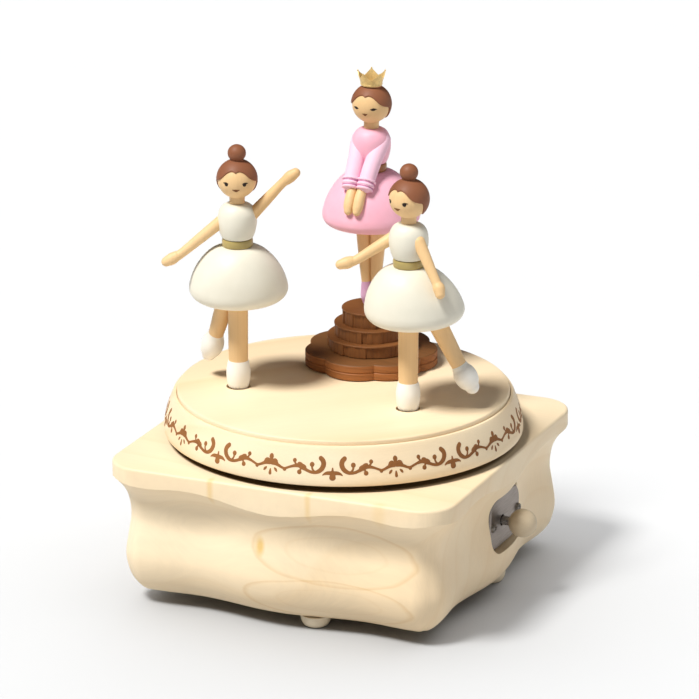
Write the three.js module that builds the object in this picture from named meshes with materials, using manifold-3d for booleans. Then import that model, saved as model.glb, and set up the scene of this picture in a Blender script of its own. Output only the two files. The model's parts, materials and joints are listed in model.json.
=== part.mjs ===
// Wooden music box: a carved square base with a spring movement inside, a turntable on top,
// two dancers that twirl on geared spindles, and a princess on a stepped pedestal.
// Millimetres, +Z up, +X to the knob side, -Y to the front. The origin is the middle of the
// base's underside, on the turntable's axis; the feet reach below it.

import * as THREE from 'three';
import { mergeVertices } from 'three/addons/utils/BufferGeometryUtils.js';
import Module from 'manifold-3d';

const wasm = await Module();
wasm.setup();

// ---------------------------------------------------------------- driving dimensions

const GAP = 0.3; // between separate pieces that touch
const TURN = 2 * Math.PI;

const base = { half: 60, height: 44.5, cornerRadius: 12, cavityRadius: 37, roof: 7.5 };
const cover = { radius: 42.7, thickness: 3, screwRadius: 40, keyHoleRadius: 13 };
const feet = { height: 4.3, radius: 5, ring: 49.4, firstAngle: -77, count: 4 };
const recess = { y: 2.5, z: 22, width: 26, height: 18, corner: 5, floorX: 55 };
const plate = { thickness: 1.2, screwOffset: 10.8 };
const coverScrew = { radius: 1, holeRadius: 1.3, head: 0.2, shoulder: 9, tip: 9.6, holeTop: 12 };
const plateScrew = { radius: 0.8, holeRadius: 1.1, tip: 51, headRadius: 1.5, headHeight: 0.8 };
const knob = { x: 63.7, radius: 4.7, rodRadius: 1.5 };

const drum = { gap: 2.2, bottomRadius: 59.15, shoulderRadius: 56, hollowRadius: 50, height: 12.6 };
const disc = { radius: 54.6, topRadius: 54.2, thickness: 6, top: 60.8 };

const movement = { axisZ: 22, bevelRadius: 4.5, barrelX: -18, flyY: 14.4 };
const shaftRadius = 2.5;
const sun = { teeth: 48, module: 1, bore: 8.3, bottom: 44.8, thickness: 2.5 };

const baseTop = base.height;
const cavityTop = base.height - base.roof;
const discBottom = disc.top - disc.thickness;

// ---------------------------------------------------------------- materials

const finish = (color, roughness, metalness = 0) =>
  new THREE.MeshStandardMaterial({ color, roughness, metalness });

const finishes = {
  maple: finish(0xf0deba, 0.55),
  walnut: finish(0x7a421f, 0.6),
  steel: finish(0x9b948e, 0.35, 0.9),
  brass: finish(0xb89850, 0.35, 0.9),
  zinc: finish(0xa8a8a4, 0.5, 0.7),
  nylon: finish(0xe8e4da, 0.5),
  skin: finish(0xe9c48f, 0.5),
  hair: finish(0x8c4c38, 0.5),
  ivory: finish(0xf6f1e3, 0.45),
  belt: finish(0xa89048, 0.4, 0.4),
  pink: finish(0xf3a9c4, 0.45),
  pinkSleeve: finish(0xf6c6de, 0.45),
  crown: finish(0xd6a53c, 0.3, 0.8),
};

// ---------------------------------------------------------------- shape helpers

const group = new THREE.Group();

function addPart(parent, name, geometry, material) {
  const mesh = new THREE.Mesh(geometry, material);
  mesh.name = name;
  parent.add(mesh);
  return mesh;
}

// A closed body through rings of points listed anticlockwise seen from the far end.
// A ring of one point is a tip; any other first or last ring is closed by a flat fan.
function loft(rings) {
  const centre = (ring) =>
    ring.reduce((sum, p) => sum.add(p), new THREE.Vector3()).divideScalar(ring.length);
  const closed = [...rings];
  if (closed[0].length > 1) closed.unshift([centre(closed[0])]);
  if (closed[closed.length - 1].length > 1) closed.push([centre(closed[closed.length - 1])]);
  const positions = [];
  const starts = [];
  for (const ring of closed) {
    starts.push(positions.length / 3);
    for (const p of ring) positions.push(p.x, p.y, p.z);
  }
  const index = [];
  for (let k = 0; k + 1 < closed.length; k += 1) {
    const near = closed[k].length;
    const far = closed[k + 1].length;
    const count = Math.max(near, far);
    for (let i = 0; i < count; i += 1) {
      const a = starts[k] + (i % near);
      const b = starts[k] + ((i + 1) % near);
      const c = starts[k + 1] + ((i + 1) % far);
      const d = starts[k + 1] + (i % far);
      if (near > 1) index.push(a, b, c);
      if (far > 1) index.push(a, c, d);
    }
  }
  const geometry = new THREE.BufferGeometry();
  geometry.setAttribute('position', new THREE.Float32BufferAttribute(positions, 3));
  geometry.setIndex(index);
  geometry.computeVertexNormals();
  return geometry;
}

function ringAt(z, radius, segments, offset = [0, 0], tilt = 0) {
  const points = [];
  for (let i = 0; i < segments; i += 1) {
    const angle = (TURN * i) / segments;
    const y = radius * Math.sin(angle);
    const x = offset[0] + radius * Math.cos(angle);
    points.push(new THREE.Vector3(x, offset[1] + y, z + y * Math.tan(tilt)));
  }
  return points;
}

// A body of revolution about +Z from [radius, height] pairs, listed from bottom to top.
function lathe(profile, segments = 32) {
  const points = profile.map(([radius, height]) => new THREE.Vector2(radius, height));
  return new THREE.LatheGeometry(points, segments).rotateX(Math.PI / 2);
}

// A round limb along a chain of points, with a radius at each; both ends are rounded off.
function limb(path, radii, sides = 8) {
  const rings = [];
  const last = path.length - 1;
  const along = path[last].clone().sub(path[0]).normalize();
  const up = new THREE.Vector3(0, 0, 1);
  const side = Math.abs(along.z) > 0.95 ? new THREE.Vector3(1, 0, 0) : up;
  const u = new THREE.Vector3().crossVectors(side, along).normalize();
  const v = new THREE.Vector3().crossVectors(along, u);
  rings.push([path[0].clone().addScaledVector(along, -0.5 * radii[0])]);
  path.forEach((point, k) => {
    const ring = [];
    for (let i = 0; i < sides; i += 1) {
      const angle = (TURN * i) / sides;
      const p = point.clone();
      p.addScaledVector(u, radii[k] * Math.cos(angle));
      p.addScaledVector(v, radii[k] * Math.sin(angle));
      ring.push(p);
    }
    rings.push(ring);
  });
  rings.push([path[last].clone().addScaledVector(along, 0.6 * radii[last])]);
  return loft(rings);
}

function solidOf(geometry) {
  const bare = geometry.clone();
  bare.deleteAttribute('normal');
  bare.deleteAttribute('uv');
  const merged = mergeVertices(bare, 1e-4);
  const mesh = new wasm.Mesh({
    numProp: 3,
    vertProperties: new Float32Array(merged.attributes.position.array),
    triVerts: new Uint32Array(merged.index.array),
  });
  return new wasm.Manifold(mesh);
}

function geometryOf(solid) {
  const mesh = solid.getMesh();
  const geometry = new THREE.BufferGeometry();
  geometry.setAttribute('position', new THREE.Float32BufferAttribute(mesh.vertProperties, 3));
  geometry.setIndex([...mesh.triVerts]);
  geometry.computeVertexNormals();
  return geometry;
}

function cut(geometry, ...cutters) {
  return geometryOf(cutters.reduce((solid, c) => solid.subtract(solidOf(c)), solidOf(geometry)));
}

function join(geometry, ...others) {
  return geometryOf(others.reduce((solid, c) => solid.add(solidOf(c)), solidOf(geometry)));
}

function box(x, y, z) {
  const geometry = new THREE.BoxGeometry(x[1] - x[0], y[1] - y[0], z[1] - z[0]);
  return geometry.translate((x[0] + x[1]) / 2, (y[0] + y[1]) / 2, (z[0] + z[1]) / 2);
}

function rodZ(radius, bottom, top, x = 0, y = 0, segments = 24) {
  const geometry = new THREE.CylinderGeometry(radius, radius, top - bottom, segments);
  return geometry.rotateX(Math.PI / 2).translate(x, y, (bottom + top) / 2);
}

function rodX(radius, from, to, y, z, segments = 16) {
  const geometry = new THREE.CylinderGeometry(radius, radius, to - from, segments);
  return geometry.rotateZ(Math.PI / 2).translate((from + to) / 2, y, z);
}

function roundedRectangle(width, height, corner) {
  const shape = new THREE.Shape();
  const w = width / 2;
  const h = height / 2;
  shape.absarc(w - corner, h - corner, corner, 0, Math.PI / 2);
  shape.absarc(-w + corner, h - corner, corner, Math.PI / 2, Math.PI);
  shape.absarc(-w + corner, -h + corner, corner, Math.PI, 1.5 * Math.PI);
  shape.absarc(w - corner, -h + corner, corner, 1.5 * Math.PI, TURN);
  shape.closePath();
  return shape;
}

// A rounded plate in the recess, lying in the YZ plane from x = from to x = to.
function recessPlate(width, height, corner, from, to) {
  const shape = roundedRectangle(width, height, corner);
  const geometry = new THREE.ExtrudeGeometry(shape, {
    depth: to - from,
    bevelEnabled: false,
    curveSegments: 4,
  });
  geometry.rotateX(Math.PI / 2).rotateZ(Math.PI / 2);
  return geometry.translate(from, recess.y, recess.z);
}

// ---------------------------------------------------------------- gears

const toothTip = 0.22; // share of a pitch that is flat at the tooth's tip
const toothRoot = 0.55; // share of a pitch that the tooth's root takes up

// A gear's outline with a tooth centred on the angle phase.
function gearPoints(teeth, tipRadius, rootRadius, phase) {
  const pitch = TURN / teeth;
  const points = [];
  for (let i = 0; i < teeth; i += 1) {
    const middle = phase + i * pitch;
    const corners = [
      [rootRadius, -toothRoot / 2],
      [tipRadius, -toothTip / 2],
      [tipRadius, toothTip / 2],
      [rootRadius, toothRoot / 2],
    ];
    for (const [radius, share] of corners) {
      const angle = middle + share * pitch;
      points.push([radius * Math.cos(angle), radius * Math.sin(angle)]);
    }
  }
  return points;
}

const flatRing = (points, z, scale = 1) =>
  points.map(([x, y]) => new THREE.Vector3(x * scale, y * scale, z));

function spurGear(teeth, module, bottom, top, phase) {
  const pitchRadius = (teeth * module) / 2;
  const points = gearPoints(teeth, pitchRadius + 0.8 * module, pitchRadius - 1.1 * module, phase);
  return loft([flatRing(points, bottom), flatRing(points, top)]);
}

// A bevel gear whose cone's apex is at the origin and whose teeth widen towards +Z.
function bevelGear(teeth, radius, phase) {
  const inner = 0.6;
  const points = gearPoints(teeth, 1.1 * radius, 0.8 * radius, phase);
  return loft([flatRing(points, inner * radius, inner), flatRing(points, radius)]);
}

// ---------------------------------------------------------------- base

// Inset of the carved side below the top's edge, against depth, measured at a corner.
const sideProfile = new THREE.SplineCurve(
  [
    [5, 0],
    [9.2, 3.8],
    [13.5, 5.8],
    [19.5, 6.5],
    [26, 5.5],
    [33, 4.6],
    [39, 5.8],
    [42.6, 7.9],
    [base.height, 10.3],
  ].map(([depth, inset]) => new THREE.Vector2(depth, inset)),
);
const profileSamples = sideProfile.getPoints(160);

function insetAt(depth) {
  if (depth <= profileSamples[0].x) return 0;
  const next = profileSamples.findIndex((p) => p.x >= depth);
  if (next < 1) return profileSamples[profileSamples.length - 1].y;
  const [a, b] = [profileSamples[next - 1], profileSamples[next]];
  return THREE.MathUtils.mapLinear(depth, a.x, b.x, a.y, b.y);
}

// How far the carved side swells out at a distance along the side from its middle.
const swell = { middle: 3.5, corner: 1, pinchAt: 30 };
function swellAt(along) {
  const u = Math.abs(along);
  if (u <= swell.pinchAt) return (swell.middle / 2) * (1 + Math.cos((Math.PI * u) / swell.pinchAt));
  return (swell.corner / 2) * (1 - Math.cos((TURN * (u - swell.pinchAt)) / swell.pinchAt));
}

// Points round the top's edge, each with its outward normal and its distance along the side.
function baseOutline(sideSteps, cornerSteps) {
  const straight = base.half - base.cornerRadius;
  const outline = [];
  for (let side = 0; side < 4; side += 1) {
    const turn = (side * Math.PI) / 2;
    const rotate = (x, y) =>
      new THREE.Vector2(x, y).rotateAround(new THREE.Vector2(), turn);
    for (let i = 0; i < sideSteps; i += 1) {
      const along = -straight + (2 * straight * i) / sideSteps;
      outline.push({ point: rotate(base.half, along), normal: rotate(1, 0), along });
    }
    for (let i = 0; i < cornerSteps; i += 1) {
      const angle = ((Math.PI / 2) * i) / cornerSteps;
      const normal = rotate(Math.cos(angle), Math.sin(angle));
      const arc = Math.min(angle, Math.PI / 2 - angle) * base.cornerRadius;
      const point = rotate(straight, straight).addScaledVector(normal, base.cornerRadius);
      outline.push({ point, normal, along: straight + arc });
    }
  }
  return outline;
}

function carvedBlock() {
  const outline = baseOutline(10, 3);
  const shoulder = outline.map(({ along }) => profileSamples.find((p) => p.y >= swellAt(along)).x);
  const row = (share) =>
    outline.map(({ point, normal, along }, i) => {
      const depth = share < 0 ? 0 : shoulder[i] + share * (base.height - shoulder[i]);
      const inset = share < 0 ? 0 : Math.max(0, insetAt(depth) - swellAt(along));
      const p = point.clone().addScaledVector(normal, -inset);
      return new THREE.Vector3(p.x, p.y, base.height - depth);
    });
  const shares = [1, 0.92, 0.8, 0.6, 0.4, 0.22, 0.09, 0, -1];
  return loft(shares.map(row));
}

const footAngles = Array.from({ length: feet.count }, (_, i) =>
  THREE.MathUtils.degToRad(feet.firstAngle + (360 / feet.count) * i),
);
const screwAngles = [0.25, 0.583, 0.917].map((share) => share * TURN);
const coverSeat = cover.thickness + GAP;
const knobScrewY = [recess.y - plate.screwOffset, recess.y + plate.screwOffset];
const bushRadius = 4.2;

const rodHole = rodX(knob.rodRadius + 0.4, base.cavityRadius - 7, base.half, 0, recess.z);
const knobScrewHoles = knobScrewY.map((y) =>
  rodX(plateScrew.holeRadius, plateScrew.tip - 1, base.half, y, recess.z, 10),
);
const coverScrewHoles = screwAngles.map((angle) => {
  const [x, y] = [cover.screwRadius * Math.cos(angle), cover.screwRadius * Math.sin(angle)];
  return rodZ(coverScrew.holeRadius, -1, coverScrew.holeTop, x, y, 10);
});

const baseBody = cut(
  carvedBlock(),
  rodZ(base.cavityRadius, -1, cavityTop, 0, 0, 48),
  rodZ(cover.radius + GAP, -1, coverSeat, 0, 0, 48),
  rodZ(bushRadius + GAP, cavityTop - 1, baseTop + 1),
  recessPlate(recess.width, recess.height, recess.corner, recess.floorX, base.half + 10),
  rodHole,
  ...knobScrewHoles,
  ...coverScrewHoles,
);
addPart(group, 'base_body', baseBody, finishes.maple);

const bottomCover = cut(
  rodZ(cover.radius, 0, cover.thickness, 0, 0, 48),
  rodZ(cover.keyHoleRadius, -1, cover.thickness + 1, movement.barrelX, 0, 32),
  ...coverScrewHoles,
);
addPart(group, 'bottom_cover', bottomCover, finishes.maple);

screwAngles.forEach((angle, i) => {
  const profile = [
    [0, coverScrew.head],
    [coverScrew.radius, coverScrew.head],
    [coverScrew.radius, coverScrew.shoulder],
    [0, coverScrew.tip],
  ];
  const screw = lathe(profile, 10);
  const mesh = addPart(group, `cover_screw_${i + 1}`, screw, finishes.steel);
  mesh.position.set(cover.screwRadius * Math.cos(angle), cover.screwRadius * Math.sin(angle), 0);
});

footAngles.forEach((angle, i) => {
  const profile = [
    [0, -feet.height],
    [3.2, -feet.height],
    [4.5, -feet.height + 1.2],
    [feet.radius, -feet.height + 3],
    [feet.radius, -GAP],
    [0, -GAP],
  ];
  const mesh = addPart(group, `foot_${i + 1}`, lathe(profile, 20), finishes.maple);
  mesh.position.set(feet.ring * Math.cos(angle), feet.ring * Math.sin(angle), 0);
});

// ---------------------------------------------------------------- stop knob

const plateFront = recess.floorX + GAP + plate.thickness;
const plateBody = recessPlate(
  recess.width - 2 * GAP,
  recess.height - 2 * GAP,
  recess.corner - GAP,
  recess.floorX + GAP,
  plateFront,
);
addPart(group, 'knob_plate', cut(plateBody, rodHole, ...knobScrewHoles), finishes.steel);

knobScrewY.forEach((y, i) => {
  const headBack = plateFront + GAP;
  const profile = [
    [0, plateScrew.tip],
    [plateScrew.radius, plateScrew.tip + 0.4],
    [plateScrew.radius, headBack],
    [plateScrew.headRadius, headBack],
    [plateScrew.headRadius - 0.2, headBack + 0.6],
    [0, headBack + plateScrew.headHeight],
  ];
  const screw = lathe(profile, 10);
  const mesh = addPart(group, `plate_screw_${i + 1}`, screw.rotateY(Math.PI / 2), finishes.steel);
  mesh.position.set(0, y, recess.z);
});

function ballProfile(radius, boreRadius, boreDepth, steps = 10) {
  const start = Math.asin(boreRadius / radius);
  const points = [[0, -radius + boreDepth], [boreRadius, -radius + boreDepth]];
  for (let i = 0; i <= steps; i += 1) {
    const angle = start + ((Math.PI - start) * i) / steps;
    points.push([radius * Math.sin(angle), -radius * Math.cos(angle)]);
  }
  points[points.length - 1][0] = 0;
  return points;
}

const boreDepth = 4;
const ball = lathe(ballProfile(knob.radius, knob.rodRadius + GAP, boreDepth), 20);
const ballMesh = addPart(group, 'stop_knob', ball.rotateY(Math.PI / 2), finishes.maple);
ballMesh.position.set(knob.x, 0, recess.z);

// The pad stands clear of the fly until the knob is pushed in.
const pad = { x: 29.8, thickness: 1.5, radius: 2, lead: 0.8 };
const stopRod = join(
  rodX(knob.rodRadius, pad.x, knob.x - knob.radius + boreDepth - GAP, 0, recess.z),
  box(
    [pad.x, pad.x + pad.thickness],
    [-knob.rodRadius, movement.flyY],
    [recess.z - knob.rodRadius, recess.z + knob.rodRadius],
  ),
  rodX(pad.radius, pad.x - pad.lead, pad.x + pad.thickness, movement.flyY, recess.z, 12),
);
addPart(group, 'stop_rod', stopRod, finishes.steel);

// ---------------------------------------------------------------- movement

const bearing = { inner: [7.4, 8.9], outer: [21.5, 23], halfWidth: 3.5 };
const cylinder = { from: 9.4, to: 21, radius: 6.5, arbor: 1.2 };
const comb = { from: 9.8, to: 20.6, root: -22, heel: -15, tip: -7.4, teeth: 18, thickness: 1.2 };
const bedplateBottom = cavityTop - GAP - 3;

function bearingPost([from, to], y) {
  const sides = [y - bearing.halfWidth, y + bearing.halfWidth];
  return box([from, to], sides, [movement.axisZ - 3, bedplateBottom + 1]);
}

const combSeat = movement.axisZ + comb.thickness / 2 + GAP;
const flyArbor = { from: 7, to: 26.6, radius: 0.8 };
const bedplate = cut(
  join(
    box([-31, 23], [-18, 18], [bedplateBottom, cavityTop - GAP]),
    bearingPost(bearing.inner, 0),
    bearingPost(bearing.outer, 0),
    bearingPost(bearing.inner, movement.flyY),
    bearingPost(bearing.outer, movement.flyY),
    box([comb.from, comb.to], [comb.root, comb.heel], [combSeat, bedplateBottom + 1]),
  ),
  rodZ(shaftRadius + 1, bedplateBottom - 1, cavityTop + 1),
  rodX(cylinder.arbor + GAP, 5, 24, 0, movement.axisZ, 12),
  rodX(flyArbor.radius + GAP, 5, 24, movement.flyY, movement.axisZ, 12),
);
addPart(group, 'movement_bedplate', bedplate, finishes.zinc);

function combOutline() {
  const pitch = (comb.to - comb.from) / comb.teeth;
  const shape = new THREE.Shape();
  shape.moveTo(comb.from, comb.root);
  shape.lineTo(comb.to, comb.root);
  for (let i = comb.teeth - 1; i >= 0; i -= 1) {
    const left = comb.from + i * pitch;
    const right = left + 0.7 * pitch;
    shape.lineTo(right, comb.heel);
    shape.lineTo(right, comb.tip);
    shape.lineTo(left, comb.tip);
    shape.lineTo(left, comb.heel);
  }
  shape.closePath();
  return shape;
}

const combScrew = { x: (comb.from + comb.to) / 2, y: (comb.root + comb.heel) / 2 };
const combBottom = movement.axisZ - comb.thickness / 2;
const combBody = new THREE.ExtrudeGeometry(combOutline(), {
  depth: comb.thickness,
  bevelEnabled: false,
}).translate(0, 0, combBottom);
const combHole = rodZ(1.2, combBottom - 1, combSeat + 1, combScrew.x, combScrew.y, 10);
addPart(group, 'comb', cut(combBody, combHole), finishes.steel);

const combScrewHead = combBottom - GAP;
const combScrewProfile = [
  [0, combScrewHead - 1.2],
  [1.9, combScrewHead - 1],
  [1.9, combScrewHead],
  [0.9, combScrewHead],
  [0.9, combSeat - GAP],
  [0, combSeat - GAP],
];
const combScrewBody = lathe(combScrewProfile, 12);
addPart(group, 'comb_screw', combScrewBody.translate(combScrew.x, combScrew.y, 0), finishes.steel);

// The pinned cylinder turns on +X; its tune is a spiral of pins.
function pinnedCylinder() {
  const pins = { tracks: 9, turns: 3, height: 0.45, width: 0.4, turnPerPin: 2.4 };
  const solids = [];
  for (let i = 0; i < pins.tracks * pins.turns; i += 1) {
    const reach = cylinder.to - cylinder.from - 2;
    const x = cylinder.from + 1 + ((i % pins.tracks) * reach) / pins.tracks;
    const top = cylinder.radius + pins.height;
    const pin = box([x, x + pins.width], [-pins.width / 2, pins.width / 2], [cylinder.radius - 1, top]);
    pin.rotateX(i * pins.turnPerPin);
    solids.push(pin.translate(0, 0, movement.axisZ));
  }
  return join(rodX(cylinder.radius, cylinder.from, cylinder.to, 0, movement.axisZ, 24), ...solids);
}

const wheel = { teeth: 30, module: 0.8, from: 23.6, to: 25.8 };
const flyPinion = { teeth: 6 };
const bevelTeeth = 12;
const bevelPitch = TURN / bevelTeeth;

// A gear made about +Z, turned to stand about the line y, z along +X.
function aboutX(geometry, y) {
  return geometry.rotateY(Math.PI / 2).translate(0, y, movement.axisZ);
}

const cylinderBevel = aboutX(bevelGear(bevelTeeth, movement.bevelRadius, bevelPitch / 2), 0);
const cylinderBody = join(
  pinnedCylinder(),
  rodX(cylinder.arbor, 3, wheel.to, 0, movement.axisZ, 12),
  cylinderBevel,
  aboutX(spurGear(wheel.teeth, wheel.module, wheel.from, wheel.to, Math.PI / 2), 0),
);
addPart(group, 'pinned_cylinder', cylinderBody, finishes.brass);

const flyPhase = Math.PI / 2 + Math.PI / flyPinion.teeth;
const fly = { from: 10, to: 20.4, reach: 5.6, thickness: 0.8 };
const governor = join(
  rodX(flyArbor.radius, flyArbor.from, flyArbor.to, movement.flyY, movement.axisZ, 12),
  aboutX(spurGear(flyPinion.teeth, wheel.module, wheel.from, wheel.to, flyPhase), movement.flyY),
  box(
    [fly.from, fly.to],
    [movement.flyY - fly.reach, movement.flyY + fly.reach],
    [movement.axisZ - fly.thickness / 2, movement.axisZ + fly.thickness / 2],
  ),
);
addPart(group, 'governor_fly', governor, finishes.brass);

const barrelGear = { teeth: 24, bottom: 28.4, top: 31 };
const outputTeeth = 12;
const barrelDrum = { radius: 11, bottom: 14, chamfer: 0.6 };
const barrelProfile = [
  [0, barrelDrum.bottom],
  [barrelDrum.radius - barrelDrum.chamfer, barrelDrum.bottom],
  [barrelDrum.radius, barrelDrum.bottom + barrelDrum.chamfer],
  [barrelDrum.radius, barrelGear.bottom + 0.2],
  [0, barrelGear.bottom + 0.2],
];
const barrel = join(
  lathe(barrelProfile, 28),
  spurGear(barrelGear.teeth, 1, barrelGear.bottom, barrelGear.top, 0),
);
addPart(group, 'spring_barrel', barrel.translate(movement.barrelX, 0, 0), finishes.brass);

// The winding key hangs below the barrel, inside the hole in the bottom cover.
const wing = { bottom: 0.6, top: 7.5, halfSpan: 9.5, halfThickness: 1.1, lobeRadius: 2.4, lobeY: 8.4 };
const keyLobe = (y) => {
  const z = wing.bottom + wing.lobeRadius;
  return rodX(wing.lobeRadius, -wing.halfThickness, wing.halfThickness, y, z, 16);
};
const key = join(
  rodZ(2, wing.top - 1.5, barrelDrum.bottom - GAP, 0, 0, 16),
  box([-wing.halfThickness, wing.halfThickness], [-wing.halfSpan, wing.halfSpan], [wing.bottom, wing.top]),
  keyLobe(-wing.lobeY),
  keyLobe(wing.lobeY),
);
addPart(group, 'winding_key', key.translate(movement.barrelX, 0, 0), finishes.brass);

const outputBevel = bevelGear(bevelTeeth, movement.bevelRadius, 0).translate(0, 0, movement.axisZ);
const outputGears = cut(
  join(
    outputBevel,
    rodZ(3.6, movement.axisZ + movement.bevelRadius - 0.5, barrelGear.bottom + 0.5),
    spurGear(outputTeeth, 1, barrelGear.bottom, barrelGear.top, Math.PI + Math.PI / outputTeeth),
  ),
  rodZ(shaftRadius + GAP, movement.axisZ, baseTop),
);
addPart(group, 'output_pinion', outputGears, finishes.brass);

// ---------------------------------------------------------------- turntable

const hub = { radius: 10, bottom: discBottom - GAP - 2.6, top: discBottom - GAP };
const shaftBottom = movement.axisZ + movement.bevelRadius + 0.5;
const shaftProfile = [
  [0, shaftBottom],
  [shaftRadius, shaftBottom],
  [shaftRadius, hub.bottom],
  [hub.radius, hub.bottom],
  [hub.radius, hub.top],
  [0, hub.top],
];
addPart(group, 'output_shaft', lathe(shaftProfile, 28), finishes.steel);

const flange = { radius: 7.8, top: baseTop + 1.6 };
const bush = [
  [shaftRadius + GAP, cavityTop],
  [bushRadius, cavityTop],
  [bushRadius, baseTop + GAP],
  [flange.radius, baseTop + GAP],
  [flange.radius, flange.top],
  [shaftRadius + GAP, flange.top],
  [shaftRadius + GAP, cavityTop],
];
addPart(group, 'shaft_bush', lathe(bush, 28), finishes.brass);

const ringTop = baseTop + drum.gap + drum.height;
const ringBottom = baseTop + drum.gap;
const seat = discBottom - GAP;
const drumWall = [
  [drum.hollowRadius, ringBottom],
  [drum.bottomRadius, ringBottom],
  [drum.bottomRadius, ringBottom + 2.2],
  [58, ringBottom + 7.1],
  [57.2, ringBottom + 9.5],
  [drum.shoulderRadius, ringTop],
  [disc.radius + GAP, ringTop],
  [disc.radius + GAP, seat],
  [drum.hollowRadius, seat],
  [drum.hollowRadius, ringBottom],
];
addPart(group, 'turntable_ring', lathe(drumWall, 48), finishes.maple);

// ---------------------------------------------------------------- dancers' places and gears

// Each dancer stands where its spindle's gear meshes with the fixed sun gear.
const dancers = {
  left: { angle: 204.3, teeth: 21, yaw: 19.4 },
  right: { angle: -24.2, teeth: 14, yaw: -18.6 },
};
for (const dancer of Object.values(dancers)) {
  const distance = ((sun.teeth + dancer.teeth) * sun.module) / 2;
  const angle = THREE.MathUtils.degToRad(dancer.angle);
  dancer.place = new THREE.Vector3(distance * Math.cos(angle), distance * Math.sin(angle), disc.top);
  dancer.direction = angle;
}

const spindle = {
  radius: 1.6, collarRadius: 3.6, collarHeight: 1.4, wellRadius: 4.3, wellDepth: 2.6, reach: 5.7,
};
const discProfile = [
  [0, discBottom],
  [disc.radius, discBottom],
  [disc.radius, disc.top - 0.6],
  [disc.topRadius, disc.top],
  [0, disc.top],
];
const spindleHoles = Object.values(dancers).flatMap(({ place }) => [
  rodZ(spindle.radius + GAP, discBottom - 1, disc.top + 1, place.x, place.y, 16),
  rodZ(spindle.wellRadius, disc.top - spindle.wellDepth, disc.top + 1, place.x, place.y, 20),
]);
addPart(group, 'turntable_disc', cut(lathe(discProfile, 48), ...spindleHoles), finishes.maple);

// The sun gear has a tooth pointing at angle zero; each planet is turned to mesh with it.
const sunBody = spurGear(sun.teeth, sun.module, sun.bottom, sun.bottom + sun.thickness, 0);
const sunGear = cut(sunBody, rodZ(sun.bore, sun.bottom - 1, sun.bottom + sun.thickness + 1));
addPart(group, 'sun_gear', sunGear, finishes.nylon);

function planetPhase({ direction, teeth }) {
  const sunPitch = TURN / sun.teeth;
  const sunPhase = direction / sunPitch;
  const share = sunPhase - Math.floor(sunPhase);
  return direction + Math.PI + (share + 0.5) * (TURN / teeth);
}

function spindleBody(dancer) {
  const gearBottom = sun.bottom + 0.2;
  const gearTop = gearBottom + 2.2;
  const collarTop = discBottom - GAP;
  const profile = [
    [0, gearBottom],
    [spindle.radius, gearBottom],
    [spindle.radius, collarTop - spindle.collarHeight],
    [spindle.collarRadius, collarTop - spindle.collarHeight],
    [spindle.collarRadius, collarTop],
    [spindle.radius, collarTop],
    [spindle.radius, disc.top + spindle.reach],
    [0, disc.top + spindle.reach],
  ];
  const gear = spurGear(dancer.teeth, sun.module, gearBottom, gearTop, planetPhase(dancer));
  return join(lathe(profile, 16), gear).translate(dancer.place.x, dancer.place.y, 0);
}

for (const [side, dancer] of Object.entries(dancers)) {
  addPart(group, `${side}_spindle_gear`, spindleBody(dancer), finishes.brass);
}

// ---------------------------------------------------------------- figures

// Heights above the ground that the figure stands on; the figure faces -Y.
const body = {
  shoeTop: 9.4, shoeRadius: 4, legRadius: 3.3,
  skirtBottom: 30, skirtTop: 48.1, skirtRadius: 16.2,
  beltBottom: 48.4, beltTop: 50.9, beltRadius: 5.1,
  bodiceBottom: 51.2, bodiceTop: 62.7, bodiceRadius: 6.4,
  neckRadius: 2.5, headCentre: 70.9, headRadius: 6.5,
  hairInner: 7.1, hairOuter: 7.4, bunCentre: 80, bunRadius: 3,
};

const point = (x, y, z) => new THREE.Vector3(x, y, z);

// The skirt as [radius, height] pairs from the underside to the waist; it trails by lean
// towards the back as it goes down.
function skirtGeometry(lean, grow = 0, segments = 18) {
  const rows = [
    [12.6, 0], [14.6, 0.5], [15.8, 1.9], [16.2, 3.8], [15.9, 5.4], [14.8, 8.6], [12.8, 12.2],
    [10.4, 15.2], [8, 17.1], [4.9, 18.1],
  ];
  const rings = rows.map(([radius, rise], i) => {
    const end = i === 0 ? -grow : i === rows.length - 1 ? grow : 0;
    const offset = [0, lean * (1 - rise / 18.1)];
    const tilt = (0.07 * lean * (1 - rise / 18.1)) / 4;
    return ringAt(body.skirtBottom + rise + end, radius + grow, segments, offset, tilt);
  });
  return loft(rings);
}

function bodiceGeometry(grow = 0) {
  const rows = [
    [4.9, body.bodiceBottom], [5.5, 52.7], [6.2, 55], [6.4, 57.3], [6.1, 59.6], [4.9, 61.7],
    [2.9, body.bodiceTop],
  ];
  const outline = rows.map(([radius, height], i) => {
    const end = i === 0 ? -grow : i === rows.length - 1 ? grow : 0;
    return [radius + grow, height + end];
  });
  return lathe([[0, outline[0][1]], ...outline, [0, outline[outline.length - 1][1]]], 16);
}

function headGeometry() {
  const start = Math.asin(body.neckRadius / body.headRadius);
  const neckBottom = body.bodiceTop + GAP;
  const profile = [[0, neckBottom], [body.neckRadius, neckBottom]];
  for (let i = 0; i <= 8; i += 1) {
    const angle = start + ((Math.PI - start) * i) / 8;
    const height = body.headCentre - body.headRadius * Math.cos(angle);
    profile.push([i === 8 ? 0 : body.headRadius * Math.sin(angle), height]);
  }
  return lathe(profile, 16);
}

// Elevation of the hairline, in degrees, against the angle round the head from the face.
const hairline = [
  [0, 37], [12, 39], [26, 31], [36, 20], [60, 3], [70, -6], [82, -32], [97, -50], [180, -56],
];
function hairlineAt(angle) {
  const next = Math.max(1, hairline.findIndex(([a]) => a >= angle));
  const [a, b] = [hairline[next - 1], hairline[next]];
  return THREE.MathUtils.mapLinear(angle, a[0], b[0], a[1], b[1]);
}

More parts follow.
